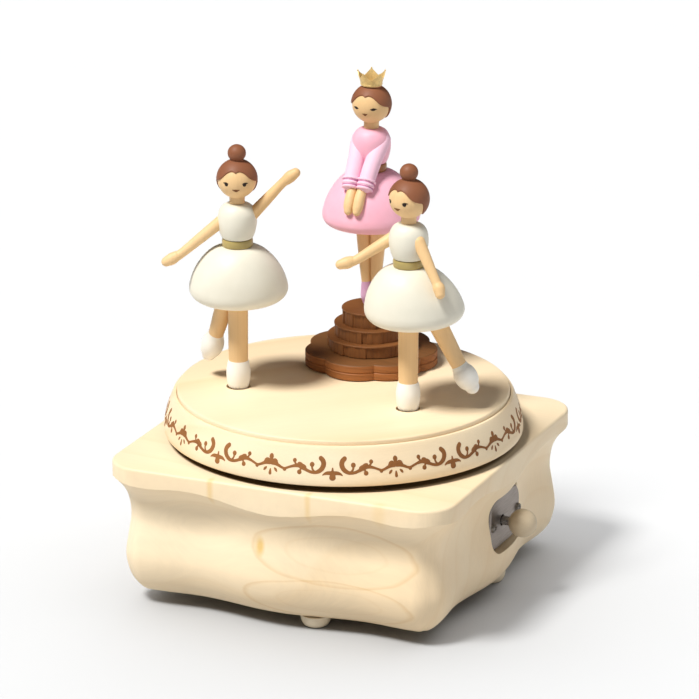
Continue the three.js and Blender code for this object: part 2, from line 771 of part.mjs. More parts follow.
function hairGeometry(withBun) {
  const segments = 18;
  const rows = [0.2, 0.4, 0.6, 0.8, 1];
  const shell = (radius, share) => {
    const ring = [];
    for (let i = 0; i < segments; i += 1) {
      const around = (360 * i) / segments;
      const fromFace = Math.min(around, 360 - around);
      const elevation = 90 - share * (90 - hairlineAt(fromFace));
      const rise = THREE.MathUtils.degToRad(elevation);
      const turn = THREE.MathUtils.degToRad(around - 90);
      ring.push(point(
        radius * Math.cos(rise) * Math.cos(turn),
        radius * Math.cos(rise) * Math.sin(turn),
        body.headCentre + radius * Math.sin(rise),
      ));
    }
    return ring;
  };
  const inner = rows.map((share) => shell(body.hairInner, share));
  const outer = [...rows].reverse().map((share) => shell(body.hairOuter, share));
  const cap = loft([
    [point(0, 0, body.headCentre + body.hairInner)],
    ...inner,
    ...outer,
    [point(0, 0, body.headCentre + body.hairOuter)],
  ]);
  if (!withBun) return cap;
  const bun = new THREE.SphereGeometry(body.bunRadius, 12, 8).rotateX(Math.PI / 2);
  const clear = new THREE.SphereGeometry(body.hairInner, 16, 12).translate(0, 0, body.headCentre);
  return join(cap, cut(bun.translate(0, 0, body.bunCentre), clear));
}

function beltGeometry() {
  const middle = (body.beltBottom + body.beltTop) / 2;
  return lathe([[0, body.beltBottom], [4.9, body.beltBottom], [body.beltRadius, middle],
    [4.9, body.beltTop], [0, body.beltTop]], 16);
}

// A leg in its shoe, standing on the spindle that fits its bore.
function standingLegGeometry(skirtClear) {
  const bore = spindle.radius + GAP;
  const leg = lathe([
    [0, spindle.reach + GAP], [bore, spindle.reach + GAP], [bore, 0.3], [3.4, 0.3], [3.9, 2.4],
    [body.shoeRadius, 5], [3.7, 7.6], [3.4, body.shoeTop], [body.legRadius, body.shoeTop + 0.1],
    [body.legRadius, body.skirtBottom + 1], [0, body.skirtBottom + 1],
  ], 16);
  return cut(leg, skirtClear);
}

function freeLegGeometry(hip, toe, skirtClear) {
  const at = (share) => hip.clone().lerp(toe, share);
  const path = [at(0), at(0.35), at(0.62), at(0.66), at(0.8), at(0.93), at(1)];
  return cut(limb(path, [3, 2.8, 2.4, 3.1, 3.6, 3, 1.6], 10), skirtClear);
}

function armGeometry(shoulder, hand, ...clear) {
  const at = (share) => shoulder.clone().lerp(hand, share);
  const path = [at(0), at(0.4), at(0.7), at(0.8), at(0.92), at(1)];
  return cut(limb(path, [2.1, 1.8, 1.4, 1.9, 2.1, 1.2], 8), ...clear);
}

function placeFigure(place, yaw) {
  const figure = new THREE.Group();
  figure.position.copy(place);
  figure.rotation.z = THREE.MathUtils.degToRad(yaw);
  group.add(figure);
  return figure;
}

function addFigureCore(figure, name, lean, withBun, dress) {
  addPart(figure, `${name}_skirt`, skirtGeometry(lean), dress);
  addPart(figure, `${name}_belt`, beltGeometry(), finishes.belt);
  addPart(figure, `${name}_bodice`, bodiceGeometry(), dress);
  addPart(figure, `${name}_head`, headGeometry(), finishes.skin);
  addPart(figure, `${name}_hair`, hairGeometry(withBun), finishes.hair);
}

const poses = {
  left: {
    hip: point(-4.2, 5.8, 29.6),
    toe: point(-9.6, 11.4, 6.8),
    rightHand: point(-24.2, -2.4, 42.8),
    leftHand: point(19.6, 1, 73.6),
  },
  right: {
    hip: point(5, 7.4, 29.6),
    toe: point(14.6, 15.6, 6),
    rightHand: point(-15.3, -15.6, 48.2),
    leftHand: point(15.4, -3, 41.6),
  },
};

for (const [side, dancer] of Object.entries(dancers)) {
  const name = `${side}_dancer`;
  const lean = 4;
  const pose = poses[side];
  const figure = placeFigure(dancer.place, dancer.yaw);
  const skirtClear = skirtGeometry(lean, 1.5 * GAP);
  const bodiceClear = bodiceGeometry(GAP);
  addFigureCore(figure, name, lean, true, finishes.ivory);
  addPart(figure, `${name}_standing_leg`, standingLegGeometry(skirtClear), finishes.skin);
  addPart(figure, `${name}_free_leg`, freeLegGeometry(pose.hip, pose.toe, skirtClear), finishes.skin);
  const rightArm = armGeometry(point(-4.6, 0, 57.6), pose.rightHand, bodiceClear, skirtClear);
  const leftArm = armGeometry(point(4.6, 0, 58.4), pose.leftHand, bodiceClear, skirtClear);
  addPart(figure, `${name}_right_arm`, rightArm, finishes.skin);
  addPart(figure, `${name}_left_arm`, leftArm, finishes.skin);
}

// ---------------------------------------------------------------- princess on her pedestal

const pedestal = { x: -1.4, y: 26.3, baseHeight: 5.5, top: 19.1 };
const steps = [
  { radius: 14.4, from: pedestal.baseHeight, to: 9.6 },
  { radius: 12, from: 9.6, to: 14 },
  { radius: 9.5, from: 14, to: pedestal.top },
];
const shorterLegs = 1.1; // how much nearer the ground the princess's waist is than a dancer's

function flutedRing(radius, lobes, depth, z, segments) {
  const ring = [];
  for (let i = 0; i < segments; i += 1) {
    const angle = (TURN * i) / segments;
    const r = radius + depth * Math.cos(lobes * (angle + Math.PI / 2));
    ring.push(point(r * Math.cos(angle), r * Math.sin(angle), z));
  }
  return ring;
}

const pedestalPlace = point(pedestal.x, pedestal.y, disc.top + GAP);
const pedestalGroup = placeFigure(pedestalPlace, 0);
const rosette = [0, pedestal.baseHeight - GAP].map((z) => flutedRing(21.7, 7, 1.1, z, 56));
addPart(pedestalGroup, 'pedestal_base', loft(rosette), finishes.walnut);

const stepRings = steps.flatMap(({ radius, from, to }) => [
  flutedRing(radius, 20, 0.25, from, 40),
  flutedRing(radius, 20, 0.25, to, 40),
]);
addPart(pedestalGroup, 'pedestal_steps', loft(stepRings), finishes.walnut);

const princessGround = disc.top + GAP + pedestal.top - shorterLegs;
const princess = placeFigure(point(pedestal.x, pedestal.y, princessGround), 0);
addFigureCore(princess, 'princess', 0, false, finishes.pink);

// Two tapering legs, side by side, on the points of their shoes.
function princessLeg(side) {
  const tip = shorterLegs + GAP;
  const rows = [
    [1.1, tip, 1.9],
    [1.5, tip + 1, 1.8],
    [1.75, 5, 1.7],
    [1.7, 9.4, 1.65],
    [2.8, 29.5, 2.7],
  ];
  return loft(rows.map(([radius, height, offset]) => ringAt(height, radius, 12, [side * offset, 0])));
}
const legs = join(princessLeg(-1), princessLeg(1), box([-0.6, 0.6], [-0.8, 0.8], [8, 24]));
addPart(princess, 'princess_legs', legs, finishes.skin);

// Sleeves run from the shoulders to a pair of cuffs in front of the waist.
const princessSkirtClear = skirtGeometry(0, 2 * GAP);
const princessBodiceClear = bodiceGeometry(GAP);
const centrePlane = (side) =>
  box(side < 0 ? [-GAP / 2, 12] : [-12, GAP / 2], [-25, 10], [30, 65]);
for (const [hand, side] of [['right', -1], ['left', 1]]) {
  const path = [
    point(side * 4.6, 0, 58.4),
    point(side * 4.3, -4.3, 55),
    point(side * 3.1, -8, 50.6),
    point(side * 2.6, -10.9, 46.8),
    point(side * 2.6, -11.6, 45.9),
  ];
  const arm = limb(path, [2.6, 2.8, 2.6, 2.5, 2.7], 10);
  const sleeve = cut(arm, princessBodiceClear, princessSkirtClear, centrePlane(side));
  addPart(princess, `princess_${hand}_sleeve`, sleeve, finishes.pinkSleeve);
  const reach = [
    point(side * 1.9, -14, 43.4),
    point(side * 1.9, -15.8, 41),
    point(side * 1.9, -17.6, 38),
    point(side * 1.7, -18.2, 36.4),
  ];
  const mitten = limb(reach, [1.2, 1.6, 1.7, 1.1], 10);
  const handBody = cut(mitten, princessSkirtClear, centrePlane(side));
  addPart(princess, `princess_${hand}_hand`, handBody, finishes.skin);
}

function crownGeometry() {
  const points = 5;
  const perPoint = 4;
  const bottom = body.headCentre + body.hairOuter - 0.6;
  const ring = (radiusAt, heightAt) => {
    const list = [];
    for (let i = 0; i < points * perPoint; i += 1) {
      const angle = (TURN * i) / (points * perPoint) + Math.PI / 2;
      const share = 1 - Math.abs((i % perPoint) - perPoint / 2) / (perPoint / 2);
      const radius = radiusAt(share);
      list.push(point(radius * Math.cos(angle), radius * Math.sin(angle), heightAt(share)));
    }
    return list;
  };
  const tip = (share) => bottom + 4.9 - 2.2 * share;
  const flare = (share) => 4.5 - 0.6 * share;
  const band = loft([
    [point(0, 0, bottom)],
    ring(() => 3.05, () => bottom),
    ring(flare, tip),
    ring((share) => flare(share) - 0.5, tip),
    ring(() => 2.5, () => bottom + 1),
    [point(0, 0, bottom + 1)],
  ]);
  const hairClear = new THREE.SphereGeometry(body.hairOuter + GAP, 24, 16);
  return cut(band, hairClear.rotateX(Math.PI / 2).translate(0, 0, body.headCentre));
}
addPart(princess, 'princess_crown', crownGeometry(), finishes.crown);

export default group;
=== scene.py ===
"""Visual model of a wooden music box: a carved base, a turntable with scrollwork round its rim,
two dancers on geared spindles and a crowned doll on a stepped pedestal.

Everything is built in millimetres in the row frame (+Z up, -Y the front, +X the knob side) and
scaled to metres when a piece is made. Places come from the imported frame.
"""

import json
from math import asin, cos, pi, radians, sin, tan

import bmesh
import bpy
from mathutils import Matrix, Vector


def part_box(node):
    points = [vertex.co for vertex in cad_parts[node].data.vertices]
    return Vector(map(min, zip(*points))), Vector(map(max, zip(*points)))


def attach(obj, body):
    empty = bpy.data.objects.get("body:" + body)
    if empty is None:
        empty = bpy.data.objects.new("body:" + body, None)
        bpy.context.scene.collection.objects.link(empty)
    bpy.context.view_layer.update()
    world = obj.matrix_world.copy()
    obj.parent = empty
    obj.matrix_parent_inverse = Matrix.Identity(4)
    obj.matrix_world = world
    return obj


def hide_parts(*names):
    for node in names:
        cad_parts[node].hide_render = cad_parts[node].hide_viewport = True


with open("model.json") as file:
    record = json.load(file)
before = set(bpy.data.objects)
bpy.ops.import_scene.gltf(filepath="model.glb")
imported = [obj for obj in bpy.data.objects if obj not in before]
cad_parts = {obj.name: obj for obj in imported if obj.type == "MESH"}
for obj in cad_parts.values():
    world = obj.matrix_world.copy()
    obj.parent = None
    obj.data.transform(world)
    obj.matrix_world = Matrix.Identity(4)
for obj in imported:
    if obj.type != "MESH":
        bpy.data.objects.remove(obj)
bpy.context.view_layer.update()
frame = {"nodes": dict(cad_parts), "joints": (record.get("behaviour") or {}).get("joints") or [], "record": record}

MM = 0.001
TURN = 2 * pi
IDENTITY = Matrix.Identity(4)
TO_X = Matrix.Rotation(pi / 2, 4, "Y")
SHARP_ANGLE = radians(32)
CORNER_SIGNS = ((1, 1), (-1, 1), (-1, -1), (1, -1))


# ---- places from the frame


def node_box(node):
    """Lowest and highest corner of a CAD node in millimetres."""
    low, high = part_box(node)
    return low / MM, high / MM


def joint_place(name):
    """Where a joint's axis stands, in millimetres."""
    joint = next(j for j in frame["joints"] if j["name"] == name)
    return Vector(joint["pos_m"]) / MM


def at(x, y, z):
    """The matrix that moves a part to a place."""
    return Matrix.Translation((x, y, z))


BASE_HIGH = node_box("base_body")[1]
BASE_HALF = BASE_HIGH.x
BASE_TOP = BASE_HIGH.z
FOOT_BOTTOM = node_box("foot_1")[0].z
DISC_LOW, DISC_HIGH = node_box("turntable_disc")
DISC_TOP = DISC_HIGH.z
DISC_RADIUS = DISC_HIGH.x
RING_LOW, RING_HIGH = node_box("turntable_ring")
PLATE_LOW, PLATE_HIGH = node_box("knob_plate")
PLATE_MIDDLE = (PLATE_LOW + PLATE_HIGH) / 2
KNOB_LOW, KNOB_HIGH = node_box("stop_knob")
KNOB_AXIS = at(0, 0, (KNOB_LOW.z + KNOB_HIGH.z) / 2) @ TO_X
PEDESTAL_LOW, PEDESTAL_HIGH = node_box("pedestal_base")
STEPS_LOW, STEPS_HIGH = node_box("pedestal_steps")
PEDESTAL_AXIS = (STEPS_LOW + STEPS_HIGH) / 2
LEFT_AXIS = joint_place("left_dancer_spin")
RIGHT_AXIS = joint_place("right_dancer_spin")
LEFT_YAW = radians(19.4)
RIGHT_YAW = radians(-18.6)


# ---- curves


def through(points, steps):
    """A smooth run of points through the given ones, ends included (Catmull-Rom)."""
    ends = [points[0], *points, points[-1]]
    run = []
    for a, b, c, d in zip(ends, ends[1:], ends[2:], ends[3:]):
        for i in range(steps):
            t = i / steps
            run.append(tuple(
                0.5 * (2 * q + (r - p) * t + (2 * p - 5 * q + 4 * r - s) * t**2
                       + (3 * q - p - 3 * r + s) * t**3)
                for p, q, r, s in zip(a, b, c, d)
            ))
    run.append(tuple(points[-1]))
    return run


def dense(profile, steps):
    """A smooth profile that keeps its flat ends on the axis."""
    return [profile[0], *through(profile[1:-1], steps), profile[-1]]


def value_at(run, x):
    """The second number of a run of pairs at x, by straight lines between them."""
    if x <= run[0][0]:
        return run[0][1]
    for (x0, y0), (x1, y1) in zip(run, run[1:]):
        if x <= x1:
            return y0 + (y1 - y0) * (x - x0) / (x1 - x0)
    return run[-1][1]


# ---- pieces


def in_scene(name, data):
    """A new object of the scene."""
    obj = bpy.data.objects.new(name, data)
    bpy.context.scene.collection.objects.link(obj)
    return obj


def new_mesh(name, vertices, faces):
    """A mesh from vertices in millimetres."""
    mesh = bpy.data.meshes.new(name)
    mesh.from_pydata([v * MM for v in vertices], [], faces)
    return mesh


def smooth(mesh):
    """Smooth shading that keeps the sharp edges."""
    mesh.polygons.foreach_set("use_smooth", [True] * len(mesh.polygons))
    mesh.set_sharp_from_angle(angle=SHARP_ANGLE)


def make_piece(name, parts, body, slot, replaces=(), material=None):
    """One object from (vertices, faces) parts, riding on a body; the slot names its material."""
    vertices = []
    faces = []
    for part_vertices, part_faces in parts:
        shift = len(vertices)
        vertices.extend(part_vertices)
        faces.extend([i + shift for i in face] for face in part_faces)
    mesh = new_mesh(name, vertices, faces)
    bm = bmesh.new()
    bm.from_mesh(mesh)
    bmesh.ops.recalc_face_normals(bm, faces=bm.faces)
    bm.to_mesh(mesh)
    bm.free()
    smooth(mesh)
    mesh.materials.append(materials[material or slot])
    piece = in_scene(name, mesh)
    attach(piece, body)
    if replaces:
        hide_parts(*replaces)
    return piece


def subtract(piece, cutters):
    """Cuts closed (vertices, faces) parts out of a piece for good."""
    for vertices, faces in cutters:
        tool = in_scene("cutter", new_mesh("cutter", vertices, faces))
        modifier = piece.modifiers.new("cut", "BOOLEAN")
        modifier.operation = "DIFFERENCE"
        modifier.solver = "EXACT"
        modifier.object = tool
        graph = bpy.context.evaluated_depsgraph_get()
        cut_mesh = bpy.data.meshes.new_from_object(piece.evaluated_get(graph))
        piece.modifiers.clear()
        bpy.data.objects.remove(tool)
        old = piece.data
        piece.data = cut_mesh
        bpy.data.meshes.remove(old)
    smooth(piece.data)


def loft(rings, where=IDENTITY, loop=False):
    """A closed skin through rings of points; a ring of one point is a tip."""
    vertices = []
    starts = []
    for ring in rings:
        starts.append(len(vertices))
        vertices.extend(where @ Vector(p) for p in ring)
    pairs = list(zip(range(len(rings)), range(1, len(rings))))
    if loop:
        pairs.append((len(rings) - 1, 0))
    faces = []
    for low, high in pairs:
        near, far = len(rings[low]), len(rings[high])
        for i in range(max(near, far)):
            corners = [starts[low] + i % near, starts[low] + (i + 1) % near,
                       starts[high] + (i + 1) % far, starts[high] + i % far]
            faces.append([v for k, v in enumerate(corners) if v not in corners[:k]])
    if not loop:
        for k in (0, -1):
            if len(rings[k]) > 2:
                faces.append([starts[k] + i for i in range(len(rings[k]))])
    return vertices, faces


def circle(radius, z, segments, centre=(0.0, 0.0)):
    """A level ring of points, or one point when it has no radius."""
    if radius == 0:
        return [(centre[0], centre[1], z)]
    return [
        (centre[0] + radius * cos(TURN * i / segments),
         centre[1] + radius * sin(TURN * i / segments), z)
        for i in range(segments)
    ]


def lathe(profile, segments=64, where=IDENTITY):
    """A body of revolution about Z from (radius, height) pairs."""
    rings = [circle(radius, z, segments) for radius, z in profile]
    closed = profile[0][0] == 0 and profile[-1][0] == 0
    return loft(rings, where, loop=not closed)


def drill(radius, low, high, segments, where):
    """A plain cylinder that cuts a round hole."""
    return lathe([(0, low), (radius, low), (radius, high), (0, high)], segments, where)


def ball(radius, where=IDENTITY, height=1.0, segments=40, rows=20):
    """A ball whose height is a share of its width."""
    rings = []
    for k in range(rows + 1):
        polar = pi * k / rows
        width = 0 if k in (0, rows) else radius * sin(polar)
        rings.append(circle(width, -radius * cos(polar) * height, segments))
    return loft(rings, where)


LIMB_SIDES = 28


def with_round_ends(middles, halves, shares):
    """(middle, direction, half width) rows along a run, with rows for its two round ends."""
    along = [(b - a).normalized() for a, b in zip(middles[:1] + middles, middles[1:] + middles[-1:])]

    def end(i, sign):
        """Rows from the tip inwards."""
        reach = sign * along[i] * halves[i]
        return [
            (middles[i] + reach * cos(share * pi / 2), along[i], halves[i] * sin(share * pi / 2))
            for share in shares
        ]

    return end(0, -1) + list(zip(middles, along, halves)) + end(-1, 1)[::-1]


def limb(path, where=IDENTITY):
    """A round limb through (x, y, z, radius) points, with domed ends."""
    run = through(path, 6)
    centres = [Vector(p[:3]) for p in run]
    rows = with_round_ends(centres, [p[3] for p in run], (0.15, 0.4, 0.65, 0.85))
    side = rows[0][1].orthogonal().normalized()
    rings = [[centres[0] - rows[0][1] * run[0][3]]]
    for centre, tangent, radius in rows:
        side = (side - tangent * side.dot(tangent)).normalized()
        other = tangent.cross(side)
        rings.append([
            centre + radius * (cos(TURN * i / LIMB_SIDES) * side + sin(TURN * i / LIMB_SIDES) * other)
            for i in range(LIMB_SIDES)
        ])
    rings.append([centres[-1] + rows[-1][1] * run[-1][3]])
    return loft(rings, where)


# ---- painted and engraved marks

MARK_DEPTH = 0.12
STROKE_LIFT = 0.06
DOT_SIDES = 20


def stroke(surface, path):
    """A ribbon with round ends along (x, y, width) points, laid on surface(x, y, height)."""
    run = through(path, 5) if len(path) > 2 else path
    rings = []
    for centre, along, half in with_round_ends([Vector(p[:2]) for p in run], [p[2] / 2 for p in run],
                                               (0.15, 0.5, 0.8)):
        across = Vector((-along.y, along.x)) * half
        left = centre + across
        right = centre - across
        corners = ((left, -MARK_DEPTH), (left, STROKE_LIFT), (right, STROKE_LIFT), (right, -MARK_DEPTH))
        rings.append([surface(*spot, height) for spot, height in corners])
    return loft(rings)


def dot(surface, x, y, width, height, lift=0.1, turn=0.0):
    """An oval mark on surface(x, y, height), a little domed."""
    rings = []
    for share, rise in ((1, -MARK_DEPTH), (1, 0.3 * lift), (0.8, 0.75 * lift), (0.4, lift)):
        ring = []
        for i in range(DOT_SIDES):
            u = share * width / 2 * cos(TURN * i / DOT_SIDES)
            v = share * height / 2 * sin(TURN * i / DOT_SIDES)
            ring.append(surface(x + u * cos(turn) - v * sin(turn),
                                y + u * sin(turn) + v * cos(turn), rise))
        rings.append(ring)
    rings.append([surface(x, y, lift)])
    return loft(rings)


# ---- materials


class Nodes:
    """A material's node tree, with short calls for what these materials need."""

    def __init__(self, name):
        self.material = bpy.data.materials.new(name)
        self.material.use_nodes = True
        self.tree = self.material.node_tree
        self.shader = self.tree.nodes["Principled BSDF"]
        self.coordinates = self.add("ShaderNodeTexCoord").outputs["Object"]

    def feed(self, node, inputs):
        """Sets a node's inputs; each value is another node's socket or a plain value."""
        for key, value in inputs.items():
            if isinstance(value, bpy.types.NodeSocket):
                self.tree.links.new(value, node.inputs[key])
            else:
                node.inputs[key].default_value = value

    def add(self, kind, inputs=None, **settings):
        node = self.tree.nodes.new(kind)
        for key, value in settings.items():
            setattr(node, key, value)
        self.feed(node, inputs or {})
        return node

    def math(self, operation, *values):
        return self.add("ShaderNodeMath", dict(enumerate(values)), operation=operation).outputs[0]

    def place(self, scale, turn=(0, 0, 0), shift=(0, 0, 0)):
        """Object coordinates in millimetres, turned and then scaled."""
        metres = self.add("ShaderNodeMapping", {
            "Scale": (1 / MM,) * 3, "Rotation": [radians(a) for a in turn], "Location": shift,
            "Vector": self.coordinates,
        })
        stretch = self.add("ShaderNodeMapping", {"Scale": scale, "Vector": metres.outputs["Vector"]})
        return stretch.outputs["Vector"]

    def halo(self, centre, size, wobble=0.5):
        """Distance from a place in millimetres, counted as 1 at the given size, made uneven."""
        shift = [-c for c in centre]
        away = self.place([1 / s for s in size], shift=shift)
        length = self.add("ShaderNodeVectorMath", {0: away}, operation="LENGTH").outputs["Value"]
        uneven = self.noise(self.place((0.03, 0.05, 0.09), shift=shift), detail=2)
        return self.math("MULTIPLY_ADD", uneven, wobble, length)

    def noise(self, vector, detail, roughness=0.5):
        return self.add("ShaderNodeTexNoise", {
            "Scale": 1.0, "Detail": detail, "Roughness": roughness, "Vector": vector,
        }).outputs["Fac"]

    def ramp(self, factor, stops):
        """A colour or grey ramp from (place, value) stops."""
        node = self.add("ShaderNodeValToRGB", {"Fac": factor})
        elements = node.color_ramp.elements
        while len(elements) < len(stops):
            elements.new(0.5)
        for element, (place, value) in zip(elements, stops):
            element.position = place
            element.color = (*value, 1) if isinstance(value, tuple) else (value,) * 3 + (1,)
        return node.outputs["Color"]

    def mix(self, a, b, factor, blend="MIX"):
        """Mixes two colours; a colour or factor is a socket or a plain value."""
        first, second = ((*v, 1) if isinstance(v, tuple) else v for v in (a, b))
        node = self.add("ShaderNodeMix", {6: first, 7: second, 0: factor}, data_type="RGBA",
                        blend_type=blend)
        return node.outputs[2]

    def remap(self, factor, low, high):
        node = self.add("ShaderNodeMapRange", {"To Min": low, "To Max": high, "Value": factor})
        return node.outputs["Result"]

    def bump(self, height, strength, distance=0.1 * MM):
        node = self.add("ShaderNodeBump", {"Strength": strength, "Distance": distance, "Height": height})
        self.feed(self.shader, {"Normal": node.outputs["Normal"]})

    def worn_edges(self, colour, lighter, amount):
        """Lightens convex edges a little, as handling does."""
        pointed = self.add("ShaderNodeNewGeometry").outputs["Pointiness"]
        edge = self.ramp(pointed, [(0.52, 0.0), (0.6, 1.0)])
        return self.mix(colour, lighter, self.math("MULTIPLY", edge, amount))


def linear(hexadecimal):
    """The linear colour of an sRGB hex number."""
    channels = [(hexadecimal >> shift & 255) / 255 for shift in (16, 8, 0)]
    return tuple(c / 12.92 if c <= 0.04045 else ((c + 0.055) / 1.055) ** 2.4 for c in channels)


def wood(name, pale, warm, line, turn=(0, 0, 0), shift=(0, 0, 0), ring=9.0, figure=0.3,
         roughness=0.5, fibre_scale=(0.05, 2.4, 2.4), marks=None):
    """Sanded wood with its grain along X before turn: broad colour, growth rings and fibres."""
    n = Nodes(name)
    drift = n.noise(n.place((0.008, 0.03, 0.03), turn, shift), detail=2)
    colour = n.mix(linear(pale), linear(warm), n.ramp(drift, [(0.35, 0.0), (0.68, 1.0)]))
    rings = n.add("ShaderNodeTexWave", {
        "Scale": 0.314, "Distortion": 1.6, "Detail": 1.5, "Detail Scale": 0.35,
        "Vector": n.place((0.16 / ring, 1 / ring, 1 / ring), turn, shift),
    }, wave_type="RINGS", rings_direction="X", wave_profile="SAW")
    late = n.ramp(rings.outputs["Fac"], [(0.0, 0.0), (0.72, 0.12), (0.93, 1.0), (1.0, 0.2)])
    colour = n.mix(colour, linear(line), n.math("MULTIPLY", late, figure))
    if marks:
        colour = marks(n, colour)
    fibre = n.noise(n.place(fibre_scale, turn, shift), detail=4, roughness=0.6)
    streak = n.ramp(fibre, [(0.3, 0.93), (0.7, 1.02)])
    n.feed(n.shader, {
        "Base Color": n.mix(colour, streak, 0.55, "MULTIPLY"),
        "Roughness": n.remap(fibre, roughness - 0.06, roughness + 0.1),
        "Specular IOR Level": 0.35,
    })
    n.bump(fibre, 0.12)
    return name, n.material


def paint(name, colour, shade, roughness=0.5, coat=0.06, grain=0.1):
    """Satin paint over turned wood: slight unevenness, rubbed edges and the grain below."""
    n = Nodes(name)
    cloud = n.noise(n.place((0.12, 0.12, 0.12)), detail=3)
    mixed = n.mix(linear(colour), linear(shade), n.ramp(cloud, [(0.4, 0.0), (0.75, 0.5)]))
    rubbed = tuple(min(1, c * 1.12) for c in linear(colour))
    fibre = n.noise(n.place((2.2, 2.2, 0.25)), detail=4, roughness=0.6)
    speck = n.noise(n.place((6, 6, 6)), detail=2)
    n.bump(n.mix(fibre, speck, 0.4), grain)
    n.feed(n.shader, {
        "Base Color": n.worn_edges(mixed, rubbed, 0.25),
        "Roughness": n.remap(cloud, roughness - 0.05, roughness + 0.08),
        "Coat Weight": coat, "Coat Roughness": 0.3, "Specular IOR Level": 0.4,
    })
    return name, n.material


def metal(name, colour, roughness, stretch=(0.4, 0.4, 0.4), scratch=0.2, metallic=1.0):
    """Metal with fine machining or brushing marks along the axis that stretch leaves long."""
    n = Nodes(name)
    marks = n.noise(n.place(stretch), detail=5, roughness=0.65)
    dull = tuple(0.72 * c for c in linear(colour))
    n.feed(n.shader, {
        "Base Color": n.mix(linear(colour), dull, n.ramp(marks, [(0.35, 0.0), (0.7, 1.0)])),
        "Metallic": metallic,
        "Roughness": n.remap(marks, roughness - 0.08, roughness + 0.15),
    })
    n.bump(marks, scratch, 0.05 * MM)
    return name, n.material


def moulded(name, colour):
    """Moulded plastic with a fine spark-eroded texture."""
    n = Nodes(name)
    speck = n.noise(n.place((3, 3, 3)), detail=3)
    shade = tuple(0.9 * c for c in linear(colour))
    n.feed(n.shader, {
        "Base Color": n.mix(linear(colour), shade, speck),
        "Roughness": n.remap(speck, 0.45, 0.6),
    })
    n.bump(speck, 0.15)
    return name, n.material


MAPLE = {"pale": 0xF6E3C2, "warm": 0xF2D9B3, "line": 0xD9AE6A}
GOLDEN_WOOD = 0xE6C074
# Painted shade for the hidden gap under the turntable, on the base's top and the rim's underside.
SHADED_MAPLE = 0x8A7350
SHADED_WALNUT = 0x5E4020

# Eyes of the grain on the block's front: middle, half sizes and strength.
GRAIN_EYES = (((21, -57, 23.2), (18, 30, 6.7), 0.34), ((19, -57, 7.2), (18.5, 30, 4.7), 0.34))
EYE_LINES = [(0.54, 0.0), (0.58, 0.3), (0.61, 0.0), (0.84, 0.0), (0.9, 1.0), (0.93, 0.0)]
# Golden flecks and streaks: middle, half sizes and strength.
GOLDEN_FLECKS = (
    ((-4.5, -57, 23.5), (2.0, 9, 4.2), 0.9), ((-20.8, -60, 44), (1.5, 4, 16), 0.5),
    ((13.4, -60, 44), (1.4, 4, 16), 0.45), ((38, -60, 44), (3, 4, 16), 0.25),
)
ENDLESS = 1e4


def block_marks(n, colour):
    """The grain's eyes and golden flecks on the block's front, and painted shade on the top under the ring."""
    for centre, size, strength in GRAIN_EYES:
        lines = n.ramp(n.math("MULTIPLY", n.halo(centre, size), 0.5), EYE_LINES)
        colour = n.mix(colour, linear(MAPLE["line"]), n.math("MULTIPLY", lines, strength))
    for centre, size, strength in GOLDEN_FLECKS:
        patch = n.ramp(n.halo(centre, size, 0), [(0.3, strength), (1.0, 0.0)])
        colour = n.mix(colour, linear(GOLDEN_WOOD), patch)
    # Painted shade: the base's top under the ring is darkened where the gap between them hides it.
    reach = RING_HIGH.x - 0.8
    shade_under_ring = n.ramp(n.halo((0, 0, BASE_TOP), (reach, reach, 3), 0), [(0.97, 1.0), (1.0, 0.0)])
    return n.mix(colour, linear(SHADED_MAPLE), shade_under_ring)


def darken_near_level(z, reach, shade, stops):
    """Darkens the wood near a height; on the turntable's rim this is painted shade."""

    def marks(n, colour):
        near = n.halo((0, 0, z), (ENDLESS, ENDLESS, reach), 0)
        return n.mix(colour, linear(shade), n.ramp(near, stops))

    return marks


# Painted shade darkens the turntable's underside, seen through the gap above the base, and the top of the
# pedestal's base is darker than its edge.
RIM_PAINTED_SHADE = darken_near_level(RING_LOW.z, 0.3, SHADED_MAPLE, [(0.7, 1.0), (1.0, 0.0)])
PEDESTAL_MARKS = darken_near_level(PEDESTAL_HIGH.z, 0.35, SHADED_WALNUT, [(0.6, 0.7), (1.0, 0.0)])

